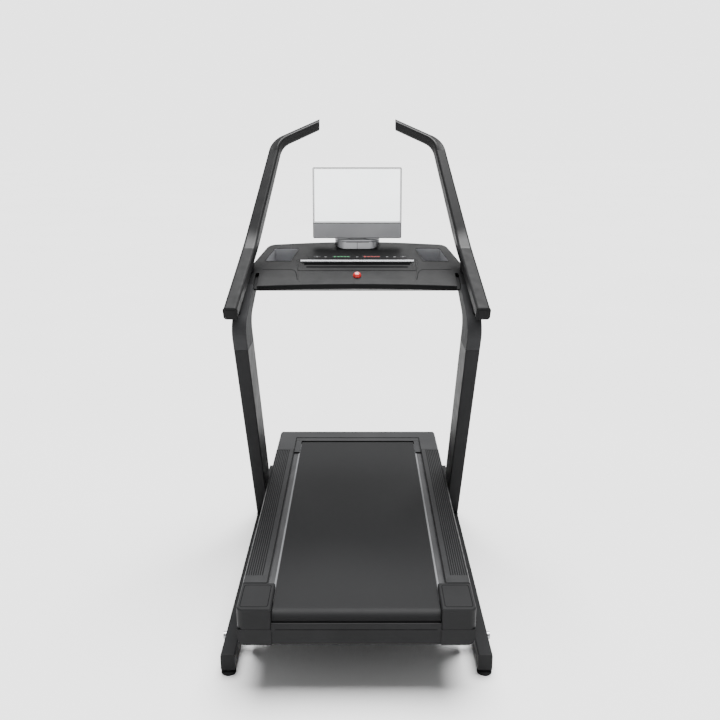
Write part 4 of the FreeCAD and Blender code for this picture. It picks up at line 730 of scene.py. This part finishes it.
def make_floor():
    mesh = bpy.data.meshes.new("floor")
    reach = 40
    corners = [(-reach, -reach, 0), (reach, -reach, 0), (reach, reach, 0), (-reach, reach, 0)]
    mesh.from_pydata(corners, [], [(0, 1, 2, 3)])
    floor = bpy.data.objects.new("floor", mesh)
    bpy.context.scene.collection.objects.link(floor)
    surface = Surface("studio_floor", 0.9, specular=0.1)
    surface.colour(surface.noise(0.6), (0.93, 0.93, 0.93), (0.96, 0.96, 0.96))
    paint(floor, surface.material)


def make_world():
    """A white surround to look at, which lights the scene more softly than it looks."""
    world = bpy.data.worlds.new("studio")
    bpy.context.scene.world = world
    world.use_nodes = True
    tree = world.node_tree
    background = tree.nodes["Background"]
    background.inputs["Color"].default_value = (1, 1, 1, 1)
    seen, lighting = 2.9, 0.30
    ray = tree.nodes.new("ShaderNodeLightPath")
    strength = tree.nodes.new("ShaderNodeMapRange")
    strength.inputs["To Min"].default_value = lighting
    strength.inputs["To Max"].default_value = seen
    tree.links.new(ray.outputs["Is Camera Ray"], strength.inputs["Value"])
    tree.links.new(strength.outputs["Result"], background.inputs["Strength"])


def add_light(name, place, aim, size, power):
    light = bpy.data.lights.new(name, "AREA")
    light.shape = "RECTANGLE"
    light.size, light.size_y = size
    light.energy = power
    lamp = bpy.data.objects.new(name, light)
    lamp.location = place
    lamp.rotation_euler = (Vector(aim) - Vector(place)).to_track_quat("-Z", "Y").to_euler()
    bpy.context.scene.collection.objects.link(lamp)


def make_lights():
    """A broad soft sun overhead and a weak fill from the user's side."""
    sun = bpy.data.lights.new("overhead", "SUN")
    sun.energy = 9.5
    sun.angle = math.radians(50)
    lamp = bpy.data.objects.new("overhead", sun)
    lamp.rotation_euler = (math.radians(-14), math.radians(4), 0)
    bpy.context.scene.collection.objects.link(lamp)
    add_light("front_fill", (-1.4, -3.6, 2.6), (0, 0, 0.9), (2.0, 2.0), 7)


def make_camera():
    camera = bpy.data.cameras.new("camera")
    camera.sensor_width = 36
    camera.lens = 42.5
    eye = bpy.data.objects.new("camera", camera)
    eye.location = (0.012, -3.347, 1.850)
    eye.rotation_euler = (math.radians(90 - 15.642), 0, 0)
    bpy.context.scene.collection.objects.link(eye)
    bpy.context.scene.camera = eye


paint_frame()
for make in (mark_keys, mark_panel, trough_floor, trough_rim, console_seams, console_edge_shade_band, bin_rims,
             safety_key_mark, bar_end_plugs, upright_gaskets, bolt_sockets, screen_border, screen_back,
             pedestal_trim, rear_cap_panels, foot_rail_studs, foot_rail_groove_shade, foot_rail_edges,
             belt_edge_highlight_strips, hood_vent_shade, hood_tray_lit_wedge, rear_seam, make_floor, make_world,
             make_lights, make_camera):
    make()
